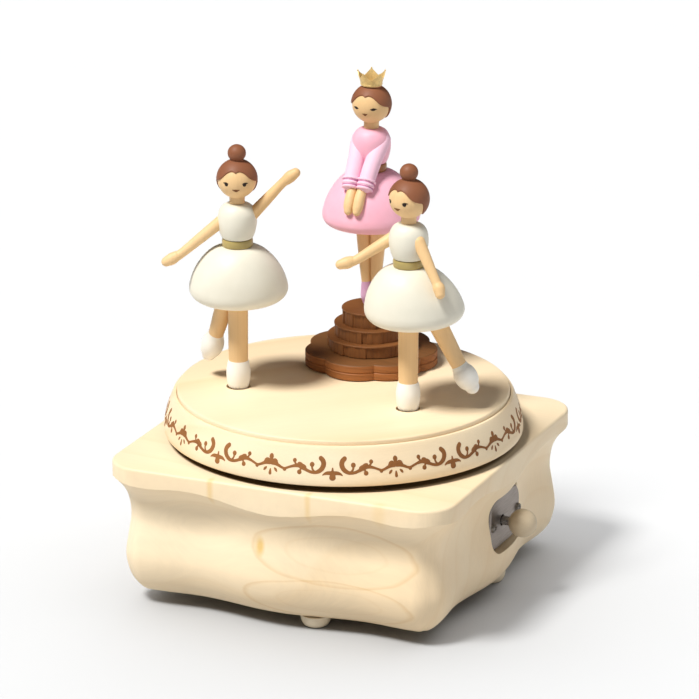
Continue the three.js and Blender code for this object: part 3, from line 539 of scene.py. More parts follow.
materials = dict((
    wood("maple_block", **MAPLE, turn=(0, 4, 5), shift=(0, -38, 16), ring=11, figure=0.1,
         fibre_scale=(0.05, 2.4, 0.25), marks=block_marks),
    wood("maple_trim", 0xF4E6CC, 0xEBDABC, 0xD3B78F, turn=(0, 0, 90), shift=(9, 4, 31), figure=0.2),
    # The turned rim's underside carries painted shade.
    wood("maple_turned", **MAPLE, turn=(0, 3, -45), shift=(0, 30, 30), ring=13, figure=0.16,
         marks=RIM_PAINTED_SHADE),
    wood("maple_disc", **MAPLE, turn=(0, 2, -45), shift=(0, 12, 40), ring=12, figure=0.22),
    wood("walnut", 0x8E5A2C, 0x734620, 0x4A2A12, turn=(0, 90, 0), shift=(0, 5, 9), ring=1.6,
         roughness=0.6),
    wood("walnut_base", 0xA06434, 0x7E4C24, 0x54300F, turn=(0, 0, 12), shift=(0, 5, 9), ring=2.6,
         roughness=0.6, marks=PEDESTAL_MARKS),
    wood("skin_wood", 0xEFCB98, 0xE6BC84, 0xC99A60, turn=(0, 90, 0), ring=3.5, figure=0.08),
    wood("knob_wood", 0xD8C8AE, 0xCEBB9C, 0xBFA683, turn=(0, 0, 20), ring=3, figure=0.12),
    wood("burnt_engraving", 0xA06A38, 0x8A582C, 0x704420, turn=(0, 0, -45), ring=5, roughness=0.7),
    paint("ivory_dress", 0xE8E3D2, 0xDFD9C6),
    paint("white_shoe", 0xF7F4EC, 0xEAE4D8),
    paint("belt_gold", 0xB4A064, 0x968248, roughness=0.38),
    paint("princess_belt", 0xA06A3C, 0x7F502A, roughness=0.4),
    paint("hair_paint", 0x8C5638, 0x78462E, roughness=0.6, coat=0.03, grain=0.25),
    paint("pink_dress", 0xF9BBCD, 0xF5ABC0),
    paint("pink_sleeve", 0xF8CCDE, 0xF4BED4, roughness=0.65, coat=0.0),
    paint("cuff_line", 0xC77FA6, 0xB66C94),
    paint("lilac_shoe", 0xDDAED0, 0xCF9BC2),
    paint("eye_ink", 0x241408, 0x160C05, roughness=0.6, coat=0),
    paint("lip_paint", 0x7C4A22, 0x6A3C1A, roughness=0.6, coat=0),
    metal("crown_gold", 0xF3D088, 0.42, (1, 1, 1), 0.1, metallic=0.35),
    metal("brushed_plate", 0x9A9088, 0.42, (4, 0.15, 4), 0.3),
    metal("screw_steel", 0x98928A, 0.5),
    metal("polished_steel", 0xC2C0BC, 0.22, (0.15, 3, 3), 0.1),
    metal("comb_steel", 0xB8BAC0, 0.3, (3, 0.2, 3), 0.25),
    metal("cast_zinc", 0xA2A29E, 0.5, (1.5, 1.5, 1.5), 0.4),
    metal("brass_works", 0xC8A255, 0.3, (0.3, 3, 3), 0.2),
    moulded("gear_nylon", 0xE9E5DA),
))


def finish_cad_nodes():
    """Gives every CAD node that stays the procedural material of its slot."""
    slots = {row["node"]: row["material_slot"] for row in frame["record"]["subparts"]}
    for name, obj in frame["nodes"].items():
        for slot in obj.material_slots:
            slot.material = materials[slots[name]]


# ---- base

CORNER_RADIUS = 12.0
TOP_EDGE = 0.9
TOP_HOOP = 52.0
CAVITY_RADIUS = 37.0
CAVITY_TOP = BASE_TOP - 7.5
COVER_HIGH = node_box("bottom_cover")[1]
SEAT_RADIUS = COVER_HIGH.x + 0.3
SEAT_TOP = COVER_HIGH.z + 0.3
SEAT_CHAMFER = 0.4
BUSH_HOLE = 4.5
ROD_HOLE = 2.0
CARVED_ROWS = 44
SIDE_STEPS = 72
CORNER_STEPS = 18

# Inset of the carved side against the depth below the top, at a corner.
SIDE_CURVE = through([
    (5, 0), (9.2, 3.8), (13.5, 5.8), (19.5, 6.5), (26, 5.5), (33, 4.6), (39, 5.8), (42.6, 7.9),
    (BASE_TOP, 10.3),
], 20)

SWELL_MIDDLE = 3.5
SWELL_CORNER = 1.0
PINCH_AT = 30.0


def swell(along):
    """How far the side stands out at a distance along it from its middle."""
    reach = abs(along)
    if reach <= PINCH_AT:
        return SWELL_MIDDLE / 2 * (1 + cos(pi * reach / PINCH_AT))
    return SWELL_CORNER / 2 * (1 - cos(TURN * (reach - PINCH_AT) / PINCH_AT))


def shoulder_depth(along):
    """Depth at which the band round the top gives way to the carved side."""
    target = swell(along)
    return next(depth for depth, inset in SIDE_CURVE if inset >= target)


def base_outline():
    """(point, outward normal, distance along the side) round the top's edge."""
    straight = BASE_HALF - CORNER_RADIUS
    outline = []
    for side in range(4):
        turn = Matrix.Rotation(side * pi / 2, 2)
        for i in range(SIDE_STEPS):
            along = -straight + 2 * straight * i / SIDE_STEPS
            outline.append((turn @ Vector((BASE_HALF, along)), turn @ Vector((1, 0)), along))
        corner = turn @ Vector((straight, straight))
        for i in range(CORNER_STEPS):
            angle = pi / 2 * i / CORNER_STEPS
            normal = turn @ Vector((cos(angle), sin(angle)))
            arc = min(angle, pi / 2 - angle) * CORNER_RADIUS
            outline.append((corner + normal * CORNER_RADIUS, normal, straight + arc))
    return outline


def build_base():
    outline = base_outline()

    def hoop(radius, z):
        return [(*(point.normalized() * radius), z) for point, normal, along in outline]

    def band(inset, depth):
        return [(*(point - normal * inset), BASE_TOP - depth) for point, normal, along in outline]

    def carved(share):
        ring = []
        for point, normal, along in outline:
            start = shoulder_depth(along)
            depth = start + share * (BASE_TOP - start)
            inset = max(0.0, value_at(SIDE_CURVE, depth) - swell(along))
            ring.append((*(point - normal * inset), BASE_TOP - depth))
        return ring

    rings = [hoop(BUSH_HOLE, BASE_TOP), hoop(TOP_HOOP, BASE_TOP)]
    for k in range(5):
        angle = pi / 2 * k / 4
        rings.append(band(TOP_EDGE * (1 - sin(angle)), TOP_EDGE * (1 - cos(angle))))
    rings.extend(carved(k / CARVED_ROWS) for k in range(CARVED_ROWS + 1))
    rings.extend(hoop(radius, z) for radius, z in (
        (SEAT_RADIUS + SEAT_CHAMFER, 0), (SEAT_RADIUS, SEAT_CHAMFER), (SEAT_RADIUS, SEAT_TOP),
        (CAVITY_RADIUS, SEAT_TOP), (CAVITY_RADIUS, CAVITY_TOP), (BUSH_HOLE, CAVITY_TOP),
    ))
    piece = make_piece("carved_base", [loft(rings, loop=True)], "base", "maple_block", ["base_body"])
    hole = drill(ROD_HOLE, CAVITY_RADIUS - 7, BASE_HALF + 10, 32, KNOB_AXIS)
    recess = [[(x, y, z) for y, z in recess_outline(RECESS_GAP)] for x in (RECESS_FLOOR, BASE_HALF + 10)]
    subtract(piece, [hole, loft(recess)])


RECESS_FLOOR = PLATE_LOW.x - 0.3
RECESS_GAP = 0.6
RECESS_CORNER = 5.0
RECESS_STEPS = 8


def recess_outline(grow):
    """The knob plate's outline in Y and Z, grown evenly."""
    reach = (PLATE_HIGH - PLATE_LOW) / 2 + Vector((1, 1, 1)) * (grow - RECESS_CORNER)
    outline = []
    for k, (y_sign, z_sign) in enumerate(CORNER_SIGNS):
        y = PLATE_MIDDLE.y + y_sign * reach.y
        z = PLATE_MIDDLE.z + z_sign * reach.z
        for i in range(RECESS_STEPS + 1):
            angle = pi / 2 * (k + i / RECESS_STEPS)
            outline.append((y + RECESS_CORNER * cos(angle), z + RECESS_CORNER * sin(angle)))
    return outline


def build_feet():
    for k in range(1, 5):
        low, high = node_box(f"foot_{k}")
        centre = (low + high) / 2
        radius = (high.x - low.x) / 2
        flat = 0.55 * radius
        steps = 10
        profile = [(0, low.z), (flat, low.z)]
        for i in range(1, steps + 1):
            angle = pi / 2 * i / steps
            drop = 0.12 + 0.88 * cos(angle) if i < steps else 0
            profile.append((flat + (radius - flat) * sin(angle), high.z - (high.z - low.z) * drop))
        profile.append((0, high.z))
        make_piece(f"turned_foot_{k}", [lathe(profile, 48, at(centre.x, centre.y, 0))], "base",
                   "maple_trim", [f"foot_{k}"])


PLATE_BEVEL = 0.5
PLATE_HOLE = 1.95
KNOB_BORE = 1.8
KNOB_BORE_DEPTH = 4.0


def build_plate():
    def inset(x, amount):
        return [
            (x, y + (amount if y < PLATE_MIDDLE.y else -amount),
             z + (amount if z < PLATE_MIDDLE.z else -amount))
            for y, z in recess_outline(0)
        ]

    rings = [inset(PLATE_LOW.x, 0), inset(PLATE_HIGH.x - PLATE_BEVEL, 0), inset(PLATE_HIGH.x, PLATE_BEVEL)]
    plate = make_piece("brushed_knob_plate", [loft(rings)], "base", "brushed_plate", ["knob_plate"])
    subtract(plate, [drill(PLATE_HOLE, PLATE_LOW.x - 5, PLATE_HIGH.x + 5, 32, KNOB_AXIS)])


def build_screws():
    """Pan heads with a cross slot."""
    for k in (1, 2):
        low, high = node_box(f"plate_screw_{k}")
        centre = (low + high) / 2
        place = at(PLATE_HIGH.x, centre.y, centre.z)
        head = high.x - PLATE_HIGH.x
        radius = (high.y - low.y) / 2
        profile = [(0, -1.0), (radius, -1.0), (radius, 0.3 * head), (0.8 * radius, 0.8 * head),
                   (0.4 * radius, head), (0, head)]
        screw = make_piece(f"pan_head_screw_{k}", [lathe(profile, 32, place @ TO_X)], "base",
                           "screw_steel", [f"plate_screw_{k}"])
        bar = [[(x, 0.22 * a, 1.1 * b) for a, b in CORNER_SIGNS] for x in (0.45 * head, 2)]
        subtract(screw, [loft(bar, place @ Matrix.Rotation(radians(turn), 4, "X")) for turn in (35, 125)])


def build_ball_knob():
    radius = (KNOB_HIGH.z - KNOB_LOW.z) / 2
    profile = [(0, KNOB_BORE_DEPTH - radius), (KNOB_BORE, KNOB_BORE_DEPTH - radius)]
    profile += arc_to_axis(radius, KNOB_BORE, 26)
    where = at(KNOB_HIGH.x - radius, 0, 0) @ KNOB_AXIS
    make_piece("ball_knob", [lathe(profile, 56, where)], "stop", "maple_turned", ["stop_knob"],
               "knob_wood")


def arc_to_axis(radius, bore, steps, middle=0.0):
    """Profile points round a ball, from the edge of a bore below it up to its top."""
    start = asin(bore / radius)
    points = []
    for i in range(steps + 1):
        angle = start + (pi - start) * i / steps
        points.append((radius * sin(angle) if i < steps else 0, middle - radius * cos(angle)))
    return points


# ---- turntable

RING_TOP = RING_HIGH.z
RING_BOTTOM = RING_LOW.z
RING_OUTER = RING_HIGH.x
RING_FLOOR_WIDTH = 9.1
RIM_CORNER = 0.35
GROOVE = 0.3
WALL_CURVE = through([
    (0, RING_OUTER), (2.2, RING_OUTER), (4.4, RING_OUTER - 0.5), (7.1, RING_OUTER - 1.2),
    (9.5, RING_OUTER - 2.0), (12.6, RING_OUTER - 3.2),
], 6)

DISC_EDGE = 0.6
DISC_OVERLAP = 0.12
WELL_RADIUS = 4.0
WELL_DEPTH = 2.6
SPINDLE_HOLE = 1.9


def build_ring():
    wall = [(radius, RING_BOTTOM + height) for height, radius in WALL_CURVE[::2]]
    inner = DISC_RADIUS + GROOVE
    hollow = RING_OUTER - RING_FLOOR_WIDTH
    floor = DISC_LOW.z - GROOVE
    top_outer = WALL_CURVE[-1][1]
    profile = [(hollow, RING_BOTTOM), (RING_OUTER - 0.5, RING_BOTTOM),
               (RING_OUTER - 0.15, RING_BOTTOM + 0.15), (RING_OUTER, RING_BOTTOM + 0.5)]
    profile += [p for p in wall if RING_BOTTOM + 0.6 < p[1] < RING_TOP - RIM_CORNER]
    profile += [(top_outer + 0.05, RING_TOP - RIM_CORNER), (top_outer - 0.12, RING_TOP - 0.1),
                (top_outer - RIM_CORNER, RING_TOP), (inner + 0.15, RING_TOP),
                (inner, RING_TOP - 0.15), (inner, floor), (hollow, floor)]
    make_piece("turned_rim", [lathe(profile, 192)], "turntable", "maple_turned", ["turntable_ring"])


def build_disc():
    rim = DISC_RADIUS + DISC_OVERLAP
    profile = [(0, DISC_LOW.z), (rim, DISC_LOW.z), (rim, RING_TOP - 0.6)]
    for i in range(6):
        angle = pi / 2 * i / 5
        profile.append((rim - DISC_EDGE * (1 - cos(angle)), DISC_TOP - DISC_EDGE * (1 - sin(angle))))
    profile.append((0, DISC_TOP))
    disc = make_piece("turntable_top", [lathe(profile, 192)], "turntable", "maple_disc",
                      ["turntable_disc"])
    wells = []
    for axis in (LEFT_AXIS, RIGHT_AXIS):
        place = at(axis.x, axis.y, 0)
        wells.append(drill(WELL_RADIUS, DISC_TOP - WELL_DEPTH, DISC_TOP + 1, 48, place))
        wells.append(drill(SPINDLE_HOLE, DISC_LOW.z - 1, DISC_TOP, 32, place))
    subtract(disc, wells)


REPEATS = 9
FIRST_PENDANT = pi / 2

# Half of one garland in millimetres along and up the rim, from a pendant at 0 to the middle of
# the trefoil: strokes as (along, up, width) and dots as (along, up, width, height, turn).
GARLAND_STROKES = (
    ((3.9, 9.1, 1.15), (3.15, 8.3, 1.3), (2.95, 7.2, 1.3), (3.5, 5.9, 1.2), (4.6, 5.0, 1.0),
     (5.8, 4.65, 0.75), (7.2, 4.8, 0.7), (8.6, 5.35, 0.75), (9.8, 6.0, 1.1), (10.9, 6.5, 1.15),
     (12.1, 6.4, 0.8), (13.5, 6.05, 0.55), (14.8, 5.55, 0.5), (15.8, 5.2, 0.55),
     (16.8, 5.4, 0.55), (17.9, 5.9, 0.7), (19.0, 6.3, 0.85), (20.3, 6.4, 0.9)),
    ((5.7, 4.8, 0.4), (6.5, 5.6, 0.4), (6.75, 6.7, 0.45)),
    ((11.7, 6.6, 0.5), (12.3, 7.2, 0.4), (12.5, 7.8, 0.45)),
    ((10.3, 5.9, 0.5), (10.5, 5.2, 0.4), (10.75, 4.7, 0.4)),
    ((18.45, 4.0, 0.3), (18.8, 4.45, 0.62), (19.2, 4.85, 0.3)),
    ((0.3, 4.6, 1.0), (1.6, 4.6, 0.85), (2.5, 4.35, 0.55), (3.15, 3.95, 0.15)),
)
GARLAND_DOTS = (
    (6.7, 7.1, 1.35, 1.35, 0), (9.5, 6.35, 1.9, 1.1, 0.5), (10.6, 7.0, 1.7, 1.0, 0.3),
    (12.55, 8.0, 1.15, 1.15, 0), (10.8, 4.5, 1.3, 1.3, 0), (15.8, 4.95, 1.05, 1.05, 0),
    (18.9, 6.65, 1.5, 1.1, 0.4),
)
STROKE_GROWTH = 1.1
STROKE_MARGIN = 0.16
DOT_GROWTH = 1.15


def rim_surface(angle0):
    """Maps (along, up) millimetres at a place on the rim to a point on the wall."""

    def place(x, y, height):
        radius = value_at(WALL_CURVE, y) + height
        angle = angle0 + x / RING_OUTER
        return Vector((radius * cos(angle), radius * sin(angle), RING_BOTTOM + y))

    return place


def half_garland(surface, flip):
    strokes = [
        stroke(surface, [(flip * x, y, STROKE_GROWTH * width + STROKE_MARGIN) for x, y, width in path])
        for path in GARLAND_STROKES
    ]
    dots = [
        dot(surface, flip * x, y, DOT_GROWTH * width, DOT_GROWTH * height, turn=flip * turn)
        for x, y, width, height, turn in GARLAND_DOTS
    ]
    return strokes + dots


def build_scrollwork():
    parts = []
    pitch = TURN / REPEATS
    for k in range(REPEATS):
        surface = rim_surface(FIRST_PENDANT + k * pitch)
        parts += half_garland(surface, 1) + half_garland(surface, -1)
        parts.append(stroke(surface, [(0, 6.1, 0.45), (0, 5.3, 0.8), (0, 4.5, 1.5), (0, 3.7, 1.9)]))
        parts.append(dot(surface, 0, 3.2, 2.1, 1.9))
        trefoil = rim_surface(FIRST_PENDANT + (k + 0.5) * pitch)
        parts.append(dot(trefoil, 0, 8.35, 1.5, 1.9))
        parts.append(dot(trefoil, 0, 7.0, 2.4, 1.7))
        parts.extend(dot(trefoil, side * 1.45, 7.1, 1.9, 1.45, turn=-0.4 * side) for side in (-1, 1))
        parts.append(stroke(trefoil, [(0, 4.45, 0.45), (0, 3.7, 0.85), (0, 3.1, 0.95)]))
    make_piece("rim_scrollwork", parts, "turntable", "walnut", material="burnt_engraving")


# ---- pedestal

LOBES = 7
LOBE_DEPTH = 1.1
LOBED_SIDES = 168
LAYER_GAP = 0.16
BRICKS = 44
BRICK_PATTERN = (0.0, 0.34, 0.1, 0.5, 0.22, 0.42, 0.05, 0.3, 0.48, 0.16)
# Radius and top of each round step.
STEPS = ((14.6, DISC_TOP + 9.9), (12.2, DISC_TOP + 14.3), (9.7, STEPS_HIGH.z))


def round_pedestal(radius, angle, z):
    """A point at a radius and angle round the pedestal's axis."""
    return (PEDESTAL_AXIS.x + radius * cos(angle), PEDESTAL_AXIS.y + radius * sin(angle), z)


def lobed(radius, z):
    """A ring whose edge bulges in lobes with narrow creases between them."""
    ring = []
    for i in range(LOBED_SIDES):
        angle = TURN * i / LOBED_SIDES
        swing = abs(cos(LOBES / 2 * (angle + pi / 2)))
        ring.append(round_pedestal(radius + LOBE_DEPTH * (2 * swing**0.8 - 1), angle, z))
    return ring


def course(radius, z, offset):
    """A ring stepped in and out like a course of bricks."""
    ring = []
    for i in range(BRICKS):
        inset = BRICK_PATTERN[(i * 3 + offset) % len(BRICK_PATTERN)]
        for share in (0.06, 0.35, 0.65, 0.94):
            ring.append(round_pedestal(radius - inset, TURN * (i + share) / BRICKS, z))
    return ring


def step_cap(radius, z):
    """A plain ring with as many points as a course of bricks."""
    return circle(radius, z, 4 * BRICKS, (PEDESTAL_AXIS.x, PEDESTAL_AXIS.y))


def build_pedestal():
    radius = (PEDESTAL_HIGH.x - PEDESTAL_LOW.x) / 2 - LOBE_DEPTH
    low, high = PEDESTAL_LOW.z, PEDESTAL_HIGH.z
    middle = (low + high) / 2
    rings = []
    for start, end in ((low, middle - LAYER_GAP / 2), (middle + LAYER_GAP / 2, high)):
        rings += [lobed(radius - 0.25, start), lobed(radius, start + 0.25),
                  lobed(radius, end - 0.3), lobed(radius - 0.3, end)]
    make_piece("lobed_pedestal_base", [loft(rings)], "turntable", "walnut", ["pedestal_base"],
               "walnut_base")

    start = STEPS_LOW.z
    rings = []
    for k, (radius, top) in enumerate(STEPS):
        rings += [course(radius, start, k), course(radius, top - 0.55, k),
                  step_cap(radius + 0.1, top - 0.5), step_cap(radius + 0.1, top - 0.15),
                  step_cap(radius - 0.05, top)]
        start = top
    make_piece("stepped_pedestal", [loft(rings)], "turntable", "walnut", ["pedestal_steps"])


# ---- figures

# Heights are above the ground the figure stands on.
SKIRT_BOTTOM = 30.0
BELT_BOTTOM = 48.4
NECK_BOTTOM = 62.9
NECK_RADIUS = 2.5
HEAD_CENTRE = 70.9
HEAD_RADIUS = 6.35
HAIR_RADIUS = 6.75
BUN_CENTRE = 79.6
BUN_RADIUS = 3.0

# Profiles as (radius, height) pairs; the skirt's heights are above its bottom.
SKIRT_PROFILE = [
    (0, 0.5), (6, 0.4), (11, 0.15), (13.2, 0.0), (15.0, 0.7), (16.0, 2.1), (16.2, 3.6),
    (15.9, 5.4), (14.8, 8.8), (12.9, 12.3), (10.5, 15.3), (8.0, 17.3), (5.2, 18.2), (0, 18.3),
]
BELT_PROFILE = [
    (0, 48.35), (4.8, 48.35), (5.0, 48.6), (5.08, 49.2), (5.1, 49.9), (5.05, 50.5), (4.85, 50.9),
    (0, 50.9),
]
BODICE_PROFILE = [
    (0, 51.1), (4.7, 51.1), (5.1, 51.4), (5.7, 52.8), (6.25, 55.0), (6.42, 57.2), (6.15, 59.6),
    (5.2, 61.5), (3.9, 62.5), (2.9, 62.75), (0, 62.75),
]
SHOE_PROFILE = [
    (0, -0.5), (2.9, -0.5), (3.4, 0.4), (3.8, 2.4), (3.98, 4.8), (3.8, 7.0), (3.5, 8.5), (3.3, 9.1),
    (0, 9.15),
]
SHOE_BORE = [(0, 5.9), (1.85, 5.9), (1.85, -0.5)]
LEG_PROFILE = [(0, 8.6), (3.15, 8.6), (3.2, 12), (3.28, 22), (3.3, 31), (0, 31)]
BAND_PROFILE = [(0, -0.8), (2.2, -0.8), (2.35, -0.2), (2.1, 0.3), (0, 0.3)]


def skirt(where, lean):
    """A domed skirt that trails towards the back as it goes down."""
    rings = []
    for radius, rise in through(SKIRT_PROFILE, 5):
        droop = max(0.0, 1 - rise / 18)
        tilt = tan(radians(lean)) * droop
        ring = circle(radius, SKIRT_BOTTOM + rise, 72)
        rings.append([(x, y + lean * droop, z + y * tilt) for x, y, z in ring])
    return loft(rings, where)


def head(where):
    """A round head on a short neck."""
    neck = [(0, NECK_BOTTOM), (NECK_RADIUS, NECK_BOTTOM)]
    return lathe(neck + arc_to_axis(HEAD_RADIUS, NECK_RADIUS, 30, HEAD_CENTRE), 64, where)


def on_head(radius, turn, rise):
    """A point round the head's middle, by its turn from +X and its elevation in radians."""
    return Vector((radius * cos(rise) * cos(turn), radius * cos(rise) * sin(turn),
                   HEAD_CENTRE + radius * sin(rise)))


# Elevation of the hairline, in degrees, against the angle round the head from the face.
HAIRLINE = through([
    (0, 33), (5, 35.5), (12, 37.5), (20, 36), (30, 30.5), (40, 20.5), (48, 13), (58, 6.5), (70, 2),
    (80, -1), (87, -6), (91, -18), (96, -31), (106, -40), (130, -50), (180, -54),
], 6)


def hair(where):
    """A painted cap with a thick rounded edge along the hairline."""
    segments = 96
    rows = 18

    def shell(radius, share, drop=0.0):
        ring = []
        for i in range(segments):
            around = 360 * i / segments
            line = value_at(HAIRLINE, min(around, 360 - around)) - drop
            ring.append(on_head(radius, radians(around - 90), radians(90 - share * (90 - line))))
        return ring

    middle = (HAIR_RADIUS + HEAD_RADIUS) / 2
    rings = [[(0, 0, HEAD_CENTRE + HAIR_RADIUS)]]
    rings.extend(shell(HAIR_RADIUS, i / rows) for i in range(1, rows + 1))
    rings += [shell(middle + 0.12, 1.0, 1.2), shell(middle - 0.05, 1.0, 1.6),
              shell(HEAD_RADIUS - 0.1, 1.0, 1.2), shell(HEAD_RADIUS - 0.25, 0.9),
              [(0, 0, HEAD_CENTRE + HEAD_RADIUS - 0.5)]]
    return loft(rings, where)


def bun(where):
    """A small round bun with a tight band below it."""
    base = at(0, 0, BUN_CENTRE - BUN_RADIUS + 0.55)
    return [ball(BUN_RADIUS, where @ at(0, 0, BUN_CENTRE), 0.96), lathe(BAND_PROFILE, 40, where @ base)]


def face_surface(where):
    """Maps (right, up) millimetres on the face, as its viewer sees them, to the head."""

    def place(x, y, height):
        return where @ on_head(HEAD_RADIUS + height, x / HEAD_RADIUS - pi / 2, y / HEAD_RADIUS)

    return place


EYE_SPREAD = 3.1
EYE_RISE = -0.35
# An eye's oval as (up, width, height) and its lid as (outwards, up, width) points.
OPEN_EYE = (
    (0, 1.3, 1.25),
    ((-0.7, 0.3, 0.2), (0, 0.5, 0.4), (0.65, 0.42, 0.42), (1.2, 0.4, 0.12)),
)
DROWSY_EYE = (
    (-0.05, 1.7, 0.8),
    ((-1.0, -0.1, 0.15), (0, 0.22, 0.42), (0.8, 0.1, 0.36), (1.3, 0.08, 0.1)),
)
MOUTH_X = 0.2
MOUTH_Y = -2.3


def eyes(where, shape):
    surface = face_surface(where)
    (up, width, height), lid = shape
    parts = []
    for side in (-1, 1):
        x = side * EYE_SPREAD
        parts.append(dot(surface, x, EYE_RISE + up, width, height))
        parts.append(stroke(surface, [(x + side * out, EYE_RISE + rise, w) for out, rise, w in lid]))
    return parts


def mouth(where, half):
    surface = face_surface(where)
    line = ((-half, 0.2, 0.25), (-half / 2, 0.02, 0.6), (0, 0, 0.75), (half / 2, 0.02, 0.6),
            (half, 0.2, 0.25))
    return [
        stroke(surface, [(MOUTH_X + x, MOUTH_Y + y, width) for x, y, width in line]),
        dot(surface, MOUTH_X, MOUTH_Y - 0.32, 1.1 * half, 0.6, lift=0.08),
    ]


def jointed(where, joints, stations):
    """A limb along straight bones, from (bone, share of its length, radius) stations."""
    path = []
    for bone, share, radius in stations:
        start, end = Vector(joints[bone]), Vector(joints[bone + 1])
        path.append((*start.lerp(end, share), radius))
    return limb(path, where)


ARM = ((0, 0, 2.05), (0, 0.5, 1.8), (1, 0, 1.52), (1, 0.55, 1.78), (2, 0, 1.96), (2, 0.6, 1.6))
FREE_LEG = ((0, 0, 3.2), (0, 0.5, 2.9), (0, 1, 2.5))
FREE_SHOE = ((1, 0.08, 2.8), (1, 0.25, 3.45), (1, 0.5, 3.85), (1, 0.8, 3.4), (1, 1, 2.4))

# Shoulder, wrist, hand and fingertips of the right and left arm; hip, ankle and toe of the raised leg.
DANCER_POSES = {
    "left_dancer": (
        [(-4.9, -0.7, 56.9), (-17.95, -2.8, 46.2), (-21.3, -3.5, 44.3), (-24.1, -3.9, 42.9)],
        [(4.8, -0.2, 58.9), (14.5, 1.0, 69.3), (17.3, 1.2, 71.7), (20, 1.4, 73.7)],
        [(-3.4, 2.9, 31), (-8.0, 6.5, 15.6), (-10.7, 10.3, 7.6)],
    ),
    "right_dancer": (
        [(-5.2, -1.0, 57.4), (-12.9, -10.7, 50.2), (-14.9, -13, 49.3), (-17.3, -15.6, 48.4)],
        [(5.3, -1.2, 57.8), (13.1, -1.7, 46.2), (14.6, -1.9, 44.2), (15.9, -2.5, 41.5)],
        [(6, 6, 30.5), (12.6, 10.8, 14.6), (15.9, 13.2, 7.7)],
    ),
}


def add_figure(name, body, rows):
    """Makes a figure's pieces from (suffix, shapes, slot, CAD node or None, material) rows."""
    for suffix, shapes, slot, node, *material in rows:
        shapes = shapes if isinstance(shapes, list) else [shapes]
        make_piece(f"{name}_{suffix}", shapes, body, slot, [f"{name}_{node}"] if node else [], *material)


def doll_rows(where, lean, dress, belt, hair_shapes, eye_shape, mouth_half):
    """The rows of what all three figures have."""
    return [
        ("painted_skirt", skirt(where, lean), dress, "skirt"),
        ("painted_belt", lathe(BELT_PROFILE, 64, where), belt, "belt"),
        ("painted_bodice", lathe(dense(BODICE_PROFILE, 4), 64, where), dress, "bodice"),
        ("turned_head", head(where), "skin_wood", "head"),
        ("painted_hair", hair_shapes, "hair_paint", "hair"),
        ("eyes", eyes(where, eye_shape), "hair_paint", None, "eye_ink"),
        ("mouth", mouth(where, mouth_half), "hair_paint", None, "lip_paint"),
    ]


def build_dancer(name, axis, yaw):
    where = at(axis.x, axis.y, DISC_TOP) @ Matrix.Rotation(yaw, 4, "Z")
    right_arm, left_arm, leg = DANCER_POSES[name]
    hair_shapes = [hair(where), *bun(where)]
    rows = doll_rows(where, 3.6, "ivory_dress", "belt_gold", hair_shapes, OPEN_EYE, 1.15)
    shoe = SHOE_BORE + dense(SHOE_PROFILE, 5)[2:]
    add_figure(name, name, rows + [
        ("arm_right", jointed(where, right_arm, ARM), "skin_wood", "right_arm"),
        ("arm_left", jointed(where, left_arm, ARM), "skin_wood", "left_arm"),
        ("leg_standing", lathe(LEG_PROFILE, 48, where), "skin_wood", "standing_leg"),
        ("shoe_standing", lathe(shoe, 56, where), "ivory_dress", None, "white_shoe"),
        ("leg_free", jointed(where, leg, FREE_LEG), "skin_wood", "free_leg"),
        ("shoe_free", jointed(where, leg, FREE_SHOE), "ivory_dress", None, "white_shoe"),
    ])


# Limbs on the crowned doll's left side as (x, y, z, radius); the right ones mirror them.
PRINCESS_LEG = ((2.75, 0, 31, 2.85), (2.4, 0, 24, 2.55), (1.95, 0, 15, 2.05), (1.6, 0, 8.6, 1.6))
PRINCESS_SHOE = ((1.6, 0, 9.4, 1.75), (1.65, 0, 7.0, 1.9), (1.7, -0.1, 4.4, 1.85), (1.65, -0.2, 2.7, 1.25))
SLEEVE = (
    (4.3, 0.2, 59.0, 2.4), (3.9, -2.0, 57.0, 2.65), (3.2, -4.6, 54.0, 2.75), (2.85, -7.2, 51.0, 2.75),
    (2.7, -9.6, 48.0, 2.7), (2.65, -10.9, 46.4, 2.8),
)
MITTEN = (
    (1.68, -11.9, 44.4, 1.6), (1.62, -13.6, 42.2, 1.8), (1.6, -15.0, 39.7, 1.78), (1.5, -15.7, 38.3, 1.4),
)

# Places along the cuff with the radius there: pale ridges and the darker lines between them.
CUFF_RIDGES = ((0.12, 3.15), (0.5, 2.95), (0.85, 2.8))
CUFF_LINES = ((0.31, 2.85), (0.68, 2.75))
CUFF_HALF = 0.42
CUFF_ROUND = 0.35


def own_side(part, where, side):
    """Flattens a part against the figure's middle plane so that it keeps to its own side."""
    vertices, faces = part
    return [where @ Vector((side * max(0.04, side * x), y, z)) for x, y, z in vertices], faces


def side_limb(where, side, path):
    return own_side(limb([(side * x, y, z, radius) for x, y, z, radius in path]), where, side)


def cuff(where, side, place, radius):
    """One ridge round a cuff, square to the forearm."""
    start = Vector((side * 2.7, -9.9, 47.8))
    end = Vector((side * 2.5, -12.0, 44.6))
    turn = (end - start).normalized().to_track_quat("Z", "Y").to_matrix().to_4x4()
    lower = [(0, -CUFF_HALF)]
    lower += [(radius - CUFF_ROUND * (1 - t) ** 2, CUFF_ROUND * t**2 - CUFF_HALF)
              for t in (0, 0.25, 0.5, 0.75, 1)]
    profile = lower + [(r, -z) for r, z in reversed(lower)]
    return own_side(lathe(profile, 48, at(*start.lerp(end, place)) @ turn), where, side)


CROWN_POINTS = 5
CROWN_VALLEY = 2.5
CROWN_TIP = 4.5
CROWN_TURN = radians(113)
CROWN_THICKNESS = 0.32
CROWN_RIM = ((3.1, 0.0), (3.5, 0.1), (3.65, 0.35), (3.65, 0.65), (3.5, 0.9), (3.1, 0.95))


def crown_radius(height):
    """The crown flares out towards its points."""
    return 3.45 + 0.14 * height + 0.04 * height**2


